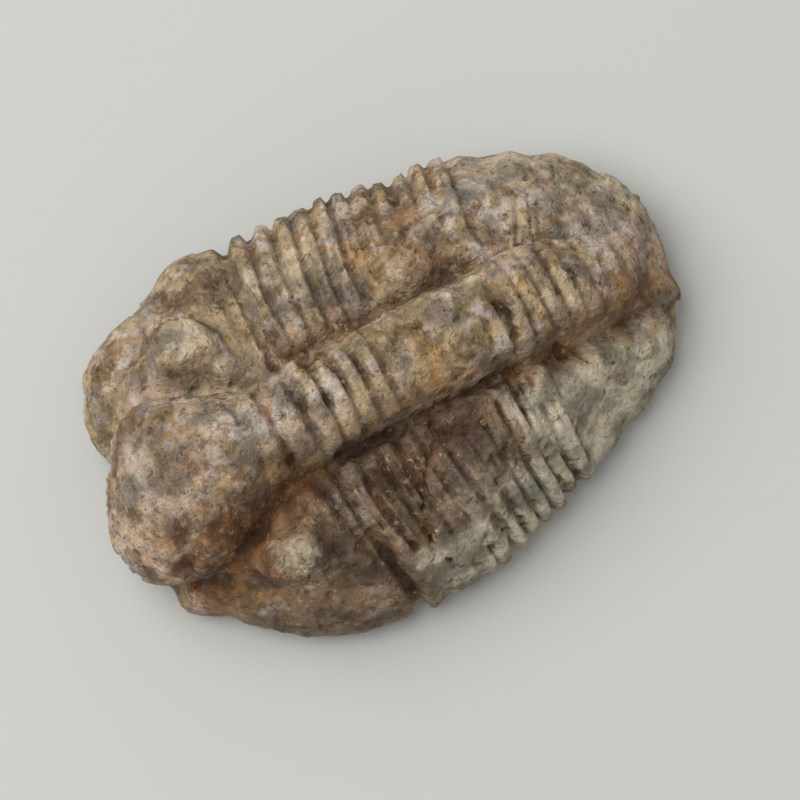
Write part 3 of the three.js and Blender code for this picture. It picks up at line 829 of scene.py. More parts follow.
def socket_id(tree, name):
    for item in tree.interface.items_tree:
        if item.item_type == "SOCKET" and item.in_out == "INPUT" and item.name == name:
            return item.identifier
    raise ValueError(f"the tree {tree.name} has no input called {name}")


def new_tree(name, inputs):
    """A bench for a geometry tree with named inputs, and the inputs."""
    tree = bpy.data.node_groups.new(name, "GeometryNodeTree")
    tree.interface.new_socket("Geometry", in_out="INPUT", socket_type="NodeSocketGeometry")
    for label, kind, default in inputs:
        socket = tree.interface.new_socket(label, in_out="INPUT", socket_type=kind)
        if default is not None:
            socket.default_value = default
    tree.interface.new_socket("Geometry", in_out="OUTPUT", socket_type="NodeSocketGeometry")
    return NodeBench(tree), tree.nodes.new("NodeGroupInput").outputs


def stored(bench, geometry, name, value):
    return bench.out("GeometryNodeStoreNamedAttribute", "Geometry", {
        "Geometry": geometry, "Name": name, "Value": value}, data_type="FLOAT", domain="POINT")


def named(bench, name):
    return bench.out("GeometryNodeInputNamedAttribute", "Attribute", {"Name": name}, data_type="FLOAT")


def distance_to(bench, points):
    return bench.out("GeometryNodeProximity", "Distance", {"Geometry": points}, target_element="POINTS")


def raised_domes(bench, given, dome, height):
    """The ground raised along its normals, by the height where the dome is 1."""
    raised = bench.maths("MULTIPLY", height, dome)
    normal = bench.out("GeometryNodeInputNormal", "Normal")
    offset = bench.out("ShaderNodeVectorMath", "Vector", {0: normal, "Scale": raised}, operation="SCALE")
    return bench.out("GeometryNodeSetPosition", "Geometry", {
        "Geometry": given["Geometry"], "Offset": offset})


def finish_tree(bench, given, geometry):
    realized = bench.out("GeometryNodeRealizeInstances", "Geometry", {"Geometry": geometry})
    coated = bench.out("GeometryNodeSetMaterial", "Geometry", {
        "Geometry": realized, "Material": given["Material"]})
    bench.add("NodeGroupOutput", {"Geometry": coated})
    return bench.tree


def domes_tree():
    """Scatters points over the ground that an attribute marks, and raises or sinks a dome at each."""
    bench, given = new_tree("Domes", [
        ("Ground", "NodeSocketString", "ground"),
        ("Mark", "NodeSocketString", "dome"),
        ("Spacing", "NodeSocketFloat", 1.0 * MM),
        ("Radius", "NodeSocketFloat", 0.4 * MM),
        ("Height", "NodeSocketFloat", 0.1 * MM),
        ("Unevenness", "NodeSocketFloat", 0.4),
        ("Raggedness", "NodeSocketFloat", 0.2),
        ("Seed", "NodeSocketInt", 1),
        ("Material", "NodeSocketMaterial", None),
    ])
    scatter = bench.out("GeometryNodeDistributePointsOnFaces", "Points", {
        "Mesh": given["Geometry"],
        "Distance Min": given["Spacing"],
        "Density Max": MOST_DOMES,
        "Density Factor": named(bench, given["Ground"]),
        "Seed": given["Seed"],
    }, distribute_method="POISSON")
    size = bench.out("FunctionNodeRandomValue", 1, {
        2: 0.0, 3: 1.0, "Seed": given["Seed"]}, data_type="FLOAT")
    points = stored(bench, scatter, "size", size)
    away = distance_to(bench, points)
    nearest = bench.out("GeometryNodeSampleNearest", "Index", {"Geometry": points}, domain="POINT")
    size_there = bench.out("GeometryNodeSampleIndex", "Value", {
        "Geometry": points, "Value": named(bench, "size"), "Index": nearest,
    }, data_type="FLOAT", domain="POINT")
    scale = bench.maths("SUBTRACT", 1.0, bench.maths("MULTIPLY", size_there, given["Unevenness"]))
    place = bench.out("GeometryNodeInputPosition", "Position")
    ripple = bench.out("ShaderNodeTexNoise", "Fac", {"Vector": place, **RIPPLE})
    ragged = bench.maths("MULTIPLY", bench.maths("SUBTRACT", ripple, 0.5), given["Raggedness"])
    away = bench.maths("MULTIPLY", away, bench.maths("ADD", ragged, 1.0))
    dome = bench.ramp(away, 0.0, bench.maths("MULTIPLY", given["Radius"], scale), 1.0, 0.0)
    domed = raised_domes(bench, given, dome, bench.maths("MULTIPLY", given["Height"], scale))
    return finish_tree(bench, given, stored(bench, domed, given["Mark"], dome))


def lens_places(bench, given):
    """Points in offset rows on a curved screen outside one eye."""
    grid = bench.out("GeometryNodeMeshGrid", "Mesh", {
        "Size X": 2.0, "Size Y": 1.0, "Vertices X": given["Files"], "Vertices Y": given["Rows"]})
    place = bench.out("GeometryNodeInputPosition", "Position")
    part = bench.add("ShaderNodeSeparateXYZ", {"Vector": place}).outputs
    order = bench.out("GeometryNodeInputIndex", "Index")
    file_number = bench.maths("FLOOR", bench.maths("DIVIDE", order, given["Rows"]))
    shifted = bench.maths("SUBTRACT", bench.maths("MODULO", file_number, 2.0), 0.5)
    row = bench.maths("ADD", part["Y"], bench.maths("MULTIPLY", shifted, LENS_GRID["stagger"]))
    turn = bench.maths("SUBTRACT", part["X"], LENS_GRID["turned"])
    length = bench.maths("MULTIPLY", given["Half Length"], LENS_GRID["out"])
    width = bench.maths("MULTIPLY", given["Half Width"], LENS_GRID["out"])
    out = bench.maths("MULTIPLY", bench.maths("COSINE", turn), width)
    level = bench.maths("MULTIPLY", row, given["Face Height"])
    climbed = bench.maths("MULTIPLY", part["X"], given["Climb"])
    local = bench.out("ShaderNodeCombineXYZ", 0, {
        "X": bench.maths("MULTIPLY", bench.maths("SINE", turn), length),
        "Y": bench.maths("MULTIPLY", out, given["Side"]),
        "Z": bench.maths("ADD", level, climbed),
    })
    outside = bench.vectors("ADD", local, given["Centre"])
    return bench.out("GeometryNodeMeshToPoints", "Points", {"Mesh": grid, "Position": outside})


def lenses_tree():
    """Lines up lenses in offset rows round the outer face of one eye, and raises a dome at each."""
    bench, given = new_tree("Eye lenses", [
        ("Centre", "NodeSocketVector", (0.0, 0.0, 0.0)),
        ("Side", "NodeSocketFloat", 1.0),
        ("Half Length", "NodeSocketFloat", 3.0 * MM),
        ("Half Width", "NodeSocketFloat", 2.0 * MM),
        ("Face Height", "NodeSocketFloat", 2.1 * MM),
        ("Climb", "NodeSocketFloat", 0.7 * MM),
        ("Files", "NodeSocketInt", 13),
        ("Rows", "NodeSocketInt", 4),
        ("Radius", "NodeSocketFloat", 0.3 * MM),
        ("Height", "NodeSocketFloat", 0.1 * MM),
        ("Material", "NodeSocketMaterial", None),
    ])
    here = bench.out("GeometryNodeInputPosition", "Position")
    inwards = bench.vectors("SUBTRACT", given["Centre"], here)
    ray = bench.add("GeometryNodeRaycast", {
        "Target Geometry": given["Geometry"],
        "Ray Direction": bench.vectors("MULTIPLY", inwards, (1.0, 1.0, 0.0)),
        "Ray Length": LENS_GRID["travel"],
    }).outputs
    landed = bench.out("GeometryNodeSetPosition", "Geometry", {
        "Geometry": lens_places(bench, given), "Position": ray["Hit Position"]})
    missed = bench.out("FunctionNodeBooleanMath", 0, {0: ray["Is Hit"]}, operation="NOT")
    kept = bench.out("GeometryNodeDeleteGeometry", "Geometry", {
        "Geometry": landed, "Selection": missed}, domain="POINT")
    dome = bench.ramp(distance_to(bench, kept), 0.0, given["Radius"], 1.0, 0.0)
    domed = raised_domes(bench, given, dome, given["Height"])
    either = bench.maths("MAXIMUM", named(bench, "lens"), dome)
    return finish_tree(bench, given, stored(bench, domed, "lens", either))


def apply_tree(piece, tree, values):
    """Runs a geometry tree on the piece and keeps the result as its plain mesh."""
    modifier = piece.modifiers.new(tree.name, "NODES")
    modifier.node_group = tree
    for name, value in values.items():
        modifier[socket_id(tree, name)] = value
    bpy.context.view_layer.update()
    evaluated = piece.evaluated_get(bpy.context.evaluated_depsgraph_get())
    result = bpy.data.meshes.new_from_object(evaluated)
    piece.modifiers.remove(modifier)
    old = piece.data
    piece.data = result
    bpy.data.meshes.remove(old)


# Where domes grow. The bumps cover the front of the glabella, and the cheeks and the tail's end
# more thinly; worn patches keep a smaller share of the bumps and pits.
BUMPS = {"lobe_gauge": (0.88, 1.0), "lobe_x": (-14.5, -12.5), "z": (4.5, 7.0), "worn": 0.25}
CHEEK_BUMPS = {"share": 0.6, "lobe_gauge": (1.2, 1.4), "x": (-11.0, -9.5)}
TAIL_BUMPS = {"share": 0.3, "x": (13.0, 16.0)}
PITS = {"z": (0.6, 2.0), "worn": 0.35}
DOMES_WORN = (-0.5, 0.2)


def ground_for(mesh, kind):
    """Where domes of one kind grow: 0 for none, 1 for the full number."""
    points = read_points(mesh)
    x, y, z = points.T
    fresh = smooth(*DOMES_WORN, rough_noise(points, *ROUGH["domes"]))
    if kind == "pit":
        return mix(PITS["worn"], 1.0, fresh) * smooth(*PITS["z"], z)
    r = lobe_gauge(x, y)
    glabella = (1.0 - smooth(*BUMPS["lobe_gauge"], r)) * (1.0 - smooth(*BUMPS["lobe_x"], x))
    cheek = smooth(*CHEEK_BUMPS["lobe_gauge"], r) * (1.0 - smooth(*CHEEK_BUMPS["x"], x))
    total = glabella + CHEEK_BUMPS["share"] * cheek + TAIL_BUMPS["share"] * smooth(*TAIL_BUMPS["x"], x)
    return np.clip(total, 0.0, 1.0) * mix(BUMPS["worn"], 1.0, fresh) * smooth(*BUMPS["z"], z)


# ---------- where each finish lies ----------
# Hollows and crests show against the surface averaged with its neighbours, a few or many times over:
# how deep or high they are, in millimetres, and how much that counts. Hollows are painted dark, partly as
# deposit and partly as painted shade, and crests pale, partly as wear and partly as painted highlight.
AVERAGED = {"own_share": 0.4, "fine": 10, "broad": 60}
HOLLOW = {"fine": (0.02, 0.16), "fine_share": 0.75, "broad": (0.05, 0.55), "broad_share": 0.75}
CREST = {"fine": (0.03, 0.14), "fine_share": 0.6, "broad": (0.15, 0.5), "broad_share": 0.4}
FACES_UP = (-0.2, 0.3)  # the dark of the hollows, partly deposit and partly painted shade, lies only where the surface faces up, by its normal's z
# The dark of the hollows, partly deposit and partly painted shade, is lessened on the right by these
# shares, on the head and behind it.
HOLLOWS_LIGHTER_RIGHT = {"y": (-2.0, 3.0), "head": 0.85, "body": 0.45, "x": (-8.0, -5.0)}
# The darker brown left flank, partly brown stain and partly painted shade, up to a wandering line beside
# the lobe.
FLANK = {"y": -3.9, "wander": 0.9, "edge": (-0.9, 0.3), "front_x": (-22.0, -17.5), "rear_x": (7.0, 11.0)}
FLANK_END_WANDER = 1.5
# The pale left margin, partly pale greenish stone and partly painted light on the shaded flank: how far out
# it begins, and behind which stations.
MARGIN_STRIPS = [((10.6, 12.8), (2.0, 5.0)), ((13.0, 14.4), (-6.0, -2.0))]
MARGIN_WANDER = 0.6
PALE_REAR = {"x": (5.8, 8.8), "wander": 1.2, "out_y": (5.6, 6.8), "z": (0.5, 2.0), "share": 0.9}
# The stained groove beside the tail, which leaves the ledge's line towards the end.
GROOVE_STAIN = {"in_y": 0.4, "turns_y": 1.7, "turns_x": (13.0, 21.0), "half_width": 1.7}
GROOVE_STAIN_FROM = {"x": (7.0, 11.0), "z": (0.0, 0.5)}
EDGE_STONE = {"z": (2.2, 4.2), "wander": 0.3}
# The pale rim on the right of the tail: painted light on a rim that faces away from the key light.
PAINTED_LIGHT_RIM = {"share": 0.90, "gauge": (0.78, 0.95), "y": (2.0, 5.0), "x": (12.0, 16.0)}
# centre x, y and radius of the rusty stain in front of and below the left eye, and its ochre halo
RUST = [(-19.0, -6.0, 4.0), (-15.0, -6.5, 3.5), (-10.5, -5.0, 2.5)]
HALO_WIDTH = 1.5
# centre x, y and radius of the pale patches: the top of each eye, partly worn and partly a painted
# highlight, and behind the tail's groove, partly pale stone and partly painted light
EYE_TOP = 1.8
PALE_PATCHES = [(EYE["x"], EYE["y"], EYE_TOP), (EYE["x"], -EYE["y"], EYE_TOP), (15.5, -7.0, 2.5)]
SPOT = {"ragged": 0.45, "edge": (0.45, 1.15)}
# Clouds of colour: centre x, y, reach along and across, and strength
BROWN_BROW = (-18.0, 2.4, 3.6, 5.0, 0.45)
PAINTED_LIGHT_NOOK = (-11.6, 6.1, 3.2, 2.0, 0.85)  # painted light that lifts the shade between the glabella and the right eye
# Lanes of colour along the body: y, half-width, where they begin and end, and strength
PAINTED_LIGHT_LANE = (-2.1, 1.3, (-9.5, -7.0), (0.0, 3.0), 0.5)  # left of the lobe's crest: painted light on the lobe's shaded flank
PAINTED_SHADE_LANE = (-6.2, 2.4, (-18.5, -15.5), (3.0, 7.0), 0.55)  # beside the lobe on the left: painted shade, added to the hollows
# Straight streaks: the axis that each crosses and where, its half-width, its start and its end
OCHRE_STREAKS = [("y", -2.8, 1.3, -7.0, 7.0)]  # at the left foot of the lobe
BROWN_STREAKS = [
    ("y", 4.3, 1.3, -6.0, 0.5),  # in the right furrow
    ("x", 6.8, 1.8, 4.5, 12.0),  # along the right ribs
]
# Pale streaks over the rib ends are partly pale stone and partly painted light
PALE_STREAKS = [
    ("y", -11.2, 1.2, -1.0, 6.0),  # over the ends of the left ribs
    ("y", 10.8, 1.5, -7.0, 0.0),  # over the ends of the right ribs
]
STREAK_FADE = 1.2  # a streak fades at each end over this distance, to both sides
STREAK_WANDER = 0.8


def averaged(values, edges, rounds):
    """Values averaged with their neighbours along the edges, several times over."""
    size = len(values)
    a, b = edges[:, 0], edges[:, 1]
    count = np.bincount(a, minlength=size) + np.bincount(b, minlength=size)
    own = AVERAGED["own_share"]
    columns = values.reshape(size, -1).copy()
    for _ in range(rounds):
        for k in range(columns.shape[1]):
            total = np.bincount(a, columns[b, k], size) + np.bincount(b, columns[a, k], size)
            columns[:, k] = own * columns[:, k] + (1.0 - own) * total / count
    return columns.reshape(values.shape)


def hollows_and_crests(mesh, points, normals):
    edges = np.empty(len(mesh.edges) * 2, dtype=np.int32)
    mesh.edges.foreach_get("vertices", edges)
    edges = edges.reshape(-1, 2)
    near = averaged(points, edges, AVERAGED["fine"])
    wide = averaged(near, edges, AVERAGED["broad"])
    fine = ((near - points) * normals).sum(axis=1)
    broad = ((wide - points) * normals).sum(axis=1)
    hollow = smooth(*HOLLOW["fine"], fine) * HOLLOW["fine_share"]
    hollow = hollow + smooth(*HOLLOW["broad"], broad) * HOLLOW["broad_share"]
    crest = smooth(*CREST["fine"], -fine) * CREST["fine_share"]
    crest = crest + smooth(*CREST["broad"], -broad) * CREST["broad_share"]
    return hollow, crest


def spots(points, places, seed):
    """1 inside the listed round places and 0 outside, with ragged edges."""
    ragged = 1.0 + SPOT["ragged"] * rough_noise(points, *ROUGH["spots"], seed)
    total = np.zeros(len(points))
    for place_x, place_y, radius in places:
        away = np.hypot(points[:, 0] - place_x, points[:, 1] - place_y) / radius
        total = np.maximum(total, 1.0 - smooth(*SPOT["edge"], away * ragged))
    return total


def lane(x, y, lane_y, half_width, begins, ends, strength):
    """Runs along the body beside the midline, and fades to both sides and at its two ends."""
    return strength * bell(y - lane_y, half_width) * smooth(*begins, x) * (1.0 - smooth(*ends, x))


def streaks(x, y, wander, rows):
    """1 along the straight streaks, and 0 beside and beyond them."""
    total = 0.0
    for axis, place, half_width, start, end in rows:
        across, along = (y, x) if axis == "y" else (x, y)
        whole = past(start, STREAK_FADE, along) * (1.0 - past(end, STREAK_FADE, along))
        total = np.maximum(total, bell(across - place + wander, half_width) * whole)
    return total


def pale_margin(x, y, z, drift):
    total = PALE_REAR["share"] * smooth(*PALE_REAR["x"], x + PALE_REAR["wander"] * drift)
    total = total * smooth(*PALE_REAR["out_y"], -y) * smooth(*PALE_REAR["z"], z)
    for out_y, behind_x in MARGIN_STRIPS:
        strip = smooth(*out_y, -y + MARGIN_WANDER * drift) * smooth(*behind_x, x)
        total = np.maximum(total, strip)
    return total


def left_flank(x, y, drift):
    line = FLANK["y"] + FLANK["wander"] * drift
    total = 1.0 - smooth(line + FLANK["edge"][0], line + FLANK["edge"][1], y)
    ended = smooth(*FLANK["rear_x"], x + FLANK_END_WANDER * drift)
    return total * smooth(*FLANK["front_x"], x) * (1.0 - ended)


def groove_stain(x, y, z):
    turned = GROOVE_STAIN["turns_y"] * smooth(*GROOVE_STAIN["turns_x"], x)
    line = LEDGE["y"] - GROOVE_STAIN["in_y"] + turned
    begun = smooth(*GROOVE_STAIN_FROM["x"], x) * smooth(*GROOVE_STAIN_FROM["z"], z)
    return bell(y - line, GROOVE_STAIN["half_width"]) * begun


def pale_and_painted_light_marks(points, wander):
    x, y, _ = points.T
    # Painted light: the rim, the nook and the lane lighten places that lie in shade
    rim = PAINTED_LIGHT_RIM["share"] * smooth(*PAINTED_LIGHT_RIM["gauge"], gauge(x, y))
    rim = rim * smooth(*PAINTED_LIGHT_RIM["y"], y) * smooth(*PAINTED_LIGHT_RIM["x"], x)
    soft = np.maximum(rim, cloud(x, y, *PAINTED_LIGHT_NOOK) + lane(x, y, *PAINTED_LIGHT_LANE))
    # The spots and streaks are partly pale wear and stone and partly painted highlight
    sharp = np.maximum(spots(points, PALE_PATCHES, SEED["pale"]), streaks(x, y, wander, PALE_STREAKS))
    return np.maximum(sharp, soft)


def mark_finishes(mesh):
    """Stores, at each vertex, how much of each finish it carries."""
    points, normals = read_points(mesh), read_normals(mesh)
    x, y, z = points.T
    drift = rough_noise(points, *ROUGH["drift"])
    wander = STREAK_WANDER * rough_noise(points, *ROUGH["streaks"])
    hollow, crest = hollows_and_crests(mesh, points, normals)
    # The hollows' dark is partly deposit and partly painted shade; it is lessened on the right, and a lane
    # of painted shade is added beside the lobe on the left
    lightened_right = smooth(*HOLLOWS_LIGHTER_RIGHT["y"], y) * mix(HOLLOWS_LIGHTER_RIGHT["head"], HOLLOWS_LIGHTER_RIGHT["body"], smooth(*HOLLOWS_LIGHTER_RIGHT["x"], x))
    hollow = np.clip(hollow * (1.0 - lightened_right) + lane(x, y, *PAINTED_SHADE_LANE), 0.0, 1.0)
    margin = pale_margin(x, y, z, drift)
    rust = spots(points, RUST, SEED["rust"])
    wider = [(*place, radius + HALO_WIDTH) for *place, radius in RUST]
    halo = spots(points, wider, SEED["rust"]) - rust
    finishes = {
        "hollow": hollow * smooth(*FACES_UP, normals[:, 2]),
        "crest": crest,
        "flank": left_flank(x, y, drift) * (1.0 - margin),
        "strip": margin,
        "band": groove_stain(x, y, z),
        "matrix": 1.0 - smooth(*EDGE_STONE["z"], z - EDGE_STONE["wander"] * drift),
        "rust": rust,
        "brown": np.maximum(streaks(x, y, wander, BROWN_STREAKS), cloud(x, y, *BROWN_BROW)),
        "pale": pale_and_painted_light_marks(points, wander),
        "ochre": np.maximum(streaks(x, y, 0.0, OCHRE_STREAKS), halo),
    }
    for name, amount in finishes.items():
        write_attribute(mesh, name, amount)


# ---------- materials ----------
# Irregular patches of colour: which colour, their size in millimetres, the share of the surface
# that they cover, and how strongly
PATCHES = [
    ("olive", 6.0, 0.36, 0.62),
    ("lilac", 5.0, 0.32, 0.70),
    ("umber", 4.2, 0.27, 0.62),
    ("ochre", 3.6, 0.20, 0.62),
    ("olive", 3.0, 0.25, 0.60),
    ("lilac", 2.5, 0.24, 0.85),
    ("umber", 2.2, 0.22, 0.80),
    ("ochre", 1.8, 0.15, 0.72),
    ("pale", 2.1, 0.15, 0.80),
    ("umber", 1.4, 0.14, 0.72),
]
# Each patch takes its noise from another place; the noise's detail and roughness; how far the level
# moves with the share; and half the width of a patch's edge.
PATCH = {"step": 0.037, "shift": (0.011, 0.023), "noise": (5.0, 0.68), "spread": 0.33, "edge": 0.025}
# Noises over the stone: scale per metre, detail and roughness
STONE_NOISE = {
    "cloud": (320.0, 5.0, 0.6),
    "mottle": (900.0, 4.0, 0.65),
    "speck": (2600.0, 3.0, 0.7),
    "pale fleck": (1150.0, 4.0, 0.7),
    "dark fleck": (830.0, 4.0, 0.7),
    "tone": (360.0, 4.0, 0.6),
    "coarse": (1300.0, 4.0, 0.75),
    "pores": (2100.0, 1.0, 0.5),
}
# Ramps over the noises: from, to, and what they give at each end where that isn't 0 and 1
RAMP = {
    "pink": (0.42, 0.58),
    "olive": (0.42, 0.62),
    "shell": (0.4, 0.6),
    "crest wear and highlight": (0.3, 0.6, 0.10, 0.42),
    "pale fleck": (0.60, 0.66, 0.0, 0.60),
    "dark fleck": (0.41, 0.34, 0.0, 0.65),
    "tone": (0.37, 0.63, 0.58, 1.44),
    "grain": (0.25, 0.75, 0.84, 1.14),
    "roughness": (0.2, 0.8, 0.70, 0.95),
    "pores": (0.45, 0.20),
}
SHELL_WANDER = 0.8
SHELL_GLOSS = 0.10
PORE_DEPTH = 0.5
BUMP = {"Strength": 0.85, "Distance": 0.38 * MM}
# Finishes laid over the patches, in order: attribute, colour, the noise that breaks it up, and how
# much shows at the noise's low and high ends
FINISH_BREAK = (0.36, 0.58)
# The flank and hollow finishes are partly painted shade, and the strip and pale finishes partly painted
# light
FINISHES = [
    ("flank", "flank", "cloud", 0.45, 0.85),
    ("brown", "umber", "mottle", 0.45, 0.95),
    ("ochre", "ochre", "mottle", 0.20, 0.75),
    ("strip", "strip", "mottle", 0.50, 0.95),
    ("matrix", "matrix", "cloud", 0.40, 0.85),
    ("hollow", "hollow", "mottle", 0.50, 1.00),
    ("band", "band", "mottle", 0.30, 0.85),
    ("rust", "rust", "mottle", 0.35, 0.95),
    ("pale", "pale", "mottle", 0.10, 0.75),
    ("tubercle", "pale", "speck", 0.15, 0.45),
    ("lens", "umber", "speck", 0.35, 0.75),
]


def linear(colour):
    """A given colour, as linear values with alpha."""
    values = [c / 12.92 if c <= 0.04045 else ((c + 0.055) / 1.055) ** 2.4 for c in colour]
    return (*values, 1.0)


def new_material(name):
    """A material with an empty tree, and the bench for it."""
    material = bpy.data.materials.new(name)
    material.use_nodes = True
    material.node_tree.nodes.clear()
    return material, NodeBench(material.node_tree)


def finish_material(bench, surface):
    shader = bench.out("ShaderNodeBsdfPrincipled", "BSDF", surface)
    bench.add("ShaderNodeOutputMaterial", {"Surface": shader})


def stone_colour(bench, place, noises, colours):
    """Shell and mould patches, then the finishes that the attributes mark."""
    cloud_noise, mottle, speck = noises["cloud"], noises["mottle"], noises["speck"]
    shell = bench.blend(
        bench.ramp(cloud_noise, *RAMP["pink"]), linear(colours.shell), linear(colours.shell_pink))
    mould = bench.blend(bench.ramp(mottle, *RAMP["olive"]), linear(colours.mould), linear(colours.olive))
    wander = bench.maths("MULTIPLY", bench.maths("SUBTRACT", mottle, 0.5), SHELL_WANDER)
    ragged = bench.maths("ADD", bench.marked("shell"), wander)
    stone = bench.blend(bench.ramp(ragged, *RAMP["shell"]), mould, shell)
    for number, (name, size, share, strength) in enumerate(PATCHES):
        patch = bench.maths("MULTIPLY", bench.patches(place, size, share, number), strength)
        stone = bench.blend(patch, stone, linear(getattr(colours, name)))
    # Painted highlight: the crests are paled, partly as rubbed wear
    crest = bench.maths("MULTIPLY", bench.marked("crest"), bench.ramp(speck, *RAMP["crest wear and highlight"]))
    stone = bench.blend(crest, stone, linear(colours.pale))
    for name, colour, noise, low, high in FINISHES:
        shown = bench.ramp(noises[noise], *FINISH_BREAK, low, high)
        amount = bench.maths("MULTIPLY", bench.marked(name), shown)
        stone = bench.blend(amount, stone, linear(getattr(colours, colour)))
    for fleck, colour in (("pale fleck", colours.pale), ("dark fleck", colours.hollow)):
        amount = bench.ramp(bench.noise(place, *STONE_NOISE[fleck]), *RAMP[fleck])
        stone = bench.blend(amount, stone, linear(colour))
    tone = bench.ramp(bench.noise(place, *STONE_NOISE["tone"]), *RAMP["tone"])
    grain = bench.maths("MULTIPLY", bench.ramp(speck, *RAMP["grain"]), tone)
    grey = bench.out("ShaderNodeCombineColor", 0, {"Red": grain, "Green": grain, "Blue": grain})
    return bench.blend(1.0, stone, grey, mode="MULTIPLY")


def fossil_material(colours):
    """Dry fossil stone: shell and mould patches, dark furrows partly of deposit and partly painted shade,
    rust, and pale spots partly worn and partly painted light.
    """
    material, bench = new_material("fossil_stone")
    place = bench.out("ShaderNodeTexCoord", "Object")
    noises = {name: bench.noise(place, *STONE_NOISE[name]) for name in ("cloud", "mottle", "speck")}
    stone = stone_colour(bench, place, noises, colours)
    shine = bench.maths("MULTIPLY", bench.marked("shell"), SHELL_GLOSS)
    roughness = bench.maths("SUBTRACT", bench.ramp(noises["mottle"], *RAMP["roughness"]), shine)
    coarse = bench.noise(place, *STONE_NOISE["coarse"])
    pores = bench.ramp(bench.noise(place, *STONE_NOISE["pores"]), *RAMP["pores"])
    height = bench.maths("SUBTRACT", coarse, bench.maths("MULTIPLY", pores, PORE_DEPTH))
    bump = bench.out("ShaderNodeBump", "Normal", {"Height": height, **BUMP})
    finish_material(bench, {
        "Base Color": stone, "Roughness": roughness, "Normal": bump, "Specular IOR Level": 0.35})
    return material


def floor_material(colour):
    material, bench = new_material("pale_floor")
    finish_material(bench, {"Base Color": linear(colour), "Roughness": 0.9, "Specular IOR Level": 0.2})
    return material


# ---------- what a user may change ----------
def length_property(name, description, default):
    return bpy.props.FloatProperty(
        name=name, description=description, default=default, min=0.0, unit="LENGTH", subtype="DISTANCE",
        precision=5)


def angle_property(name, description, degrees):
    return bpy.props.FloatProperty(
        name=name, description=description, default=math.radians(degrees), subtype="ANGLE")


def colour_property(name, description, default):
    return bpy.props.FloatVectorProperty(
        name=name, description=description, default=default, min=0.0, max=1.0, size=3,
        subtype="COLOR_GAMMA")


class FossilSizes(bpy.types.PropertyGroup):
    ring_relief: length_property("Ring relief", "How far a ring stands out on the middle lobe", 0.78 * MM)
    rib_relief: length_property("Rib relief", "How far a rib stands out on the sides", 0.72 * MM)
    weathering: length_property("Weathering", "Depth of the stone's natural roughness", 0.13 * MM)
    tubercle_radius: length_property("Tubercle radius", "Radius of the bumps on the head", 0.52 * MM)
    tubercle_height: length_property("Tubercle height", "Height of the bumps on the head", 0.22 * MM)
    tubercle_spacing: length_property("Tubercle spacing", "Least distance between bumps", 0.95 * MM)
    pit_radius: length_property("Pit radius", "Radius of the small weathered pits", 0.38 * MM)
    pit_depth: length_property("Pit depth", "Depth of the small weathered pits", 0.17 * MM)
    pit_spacing: length_property("Pit spacing", "Least distance between pits", 1.5 * MM)
    lens_radius: length_property("Lens radius", "Radius of a lens of the eye", 0.36 * MM)
    lens_height: length_property("Lens height", "How far a lens stands out", 0.22 * MM)
    seed: bpy.props.IntProperty(
        name="Seed", description="Which scatter of bumps and pits is used", default=4)


class FossilColours(bpy.types.PropertyGroup):
    shell: colour_property("Shell", "Greyish brown of the kept shell", (0.655, 0.590, 0.510))
    shell_pink: colour_property("Pink shell", "Pinkish patches of the kept shell", (0.685, 0.595, 0.525))
    mould: colour_property("Mould", "Stone where the shell has flaked off", (0.610, 0.530, 0.430))
    olive: colour_property("Olive", "Olive tan patches", (0.620, 0.550, 0.405))
    lilac: colour_property("Lilac", "Greyish patches", (0.680, 0.640, 0.615))
    umber: colour_property("Umber", "Brown patches", (0.480, 0.370, 0.265))
    # Partly painted shade: this brown also stands for the shade on the left flank
    flank: colour_property("Flank", "Brown of the left flank", (0.405, 0.315, 0.235))
    # Partly painted light: this pale colour also lightens the shaded left margin and rear
    strip: colour_property(
        "Margin", "Pale greenish grey of the left margin and rear", (0.745, 0.720, 0.635))
    matrix: colour_property("Matrix", "Stone of the edge and underside", (0.510, 0.450, 0.370))
    # Partly painted shade: this dark colour lies in the hollows and beside the lobe, as deposit and as
    # shade; it also colours the dark flecks
    hollow: colour_property("Deposit", "Dark deposit in the furrows", (0.310, 0.220, 0.140))
    ochre: colour_property("Ochre", "Orange tan patches", (0.640, 0.485, 0.305))
    band: colour_property(
        "Tail groove", "Orange brown of the groove beside the tail", (0.510, 0.360, 0.190))
    rust: colour_property("Rust", "Iron stain on the left cheek", (0.465, 0.315, 0.185))
    # Partly painted light: this pale colour also paints highlights on the crests and eye tops and lightens
    # shaded places, besides the worn spots and flecks
    pale: colour_property("Pale", "Worn spots and flecks", (0.730, 0.680, 0.590))


class StudioSettings(bpy.types.PropertyGroup):
    azimuth: angle_property("Azimuth", "Camera's turn round the fossil", -28.4)
    elevation: angle_property("Elevation", "Camera's height above the horizon", 80.0)
    distance: length_property("Distance", "Camera's distance from the fossil", 0.42)
    view_width: length_property("View width", "Width that the view takes in at the fossil", 63.75 * MM)
    key_strength: bpy.props.FloatProperty(
        name="Key light", description="Power of the soft key light", default=2.92, subtype="POWER")
    fill_strength: bpy.props.FloatProperty(
        name="Fill light", description="Brightness of the room", default=0.43)
    floor: colour_property("Floor", "Colour of the plain floor", (0.812, 0.820, 0.812))


# ---------- operators ----------
EYE_FACE = {"in_y": 0.6, "z": 11.8}  # the lenses travel towards this height, a little inside the middle


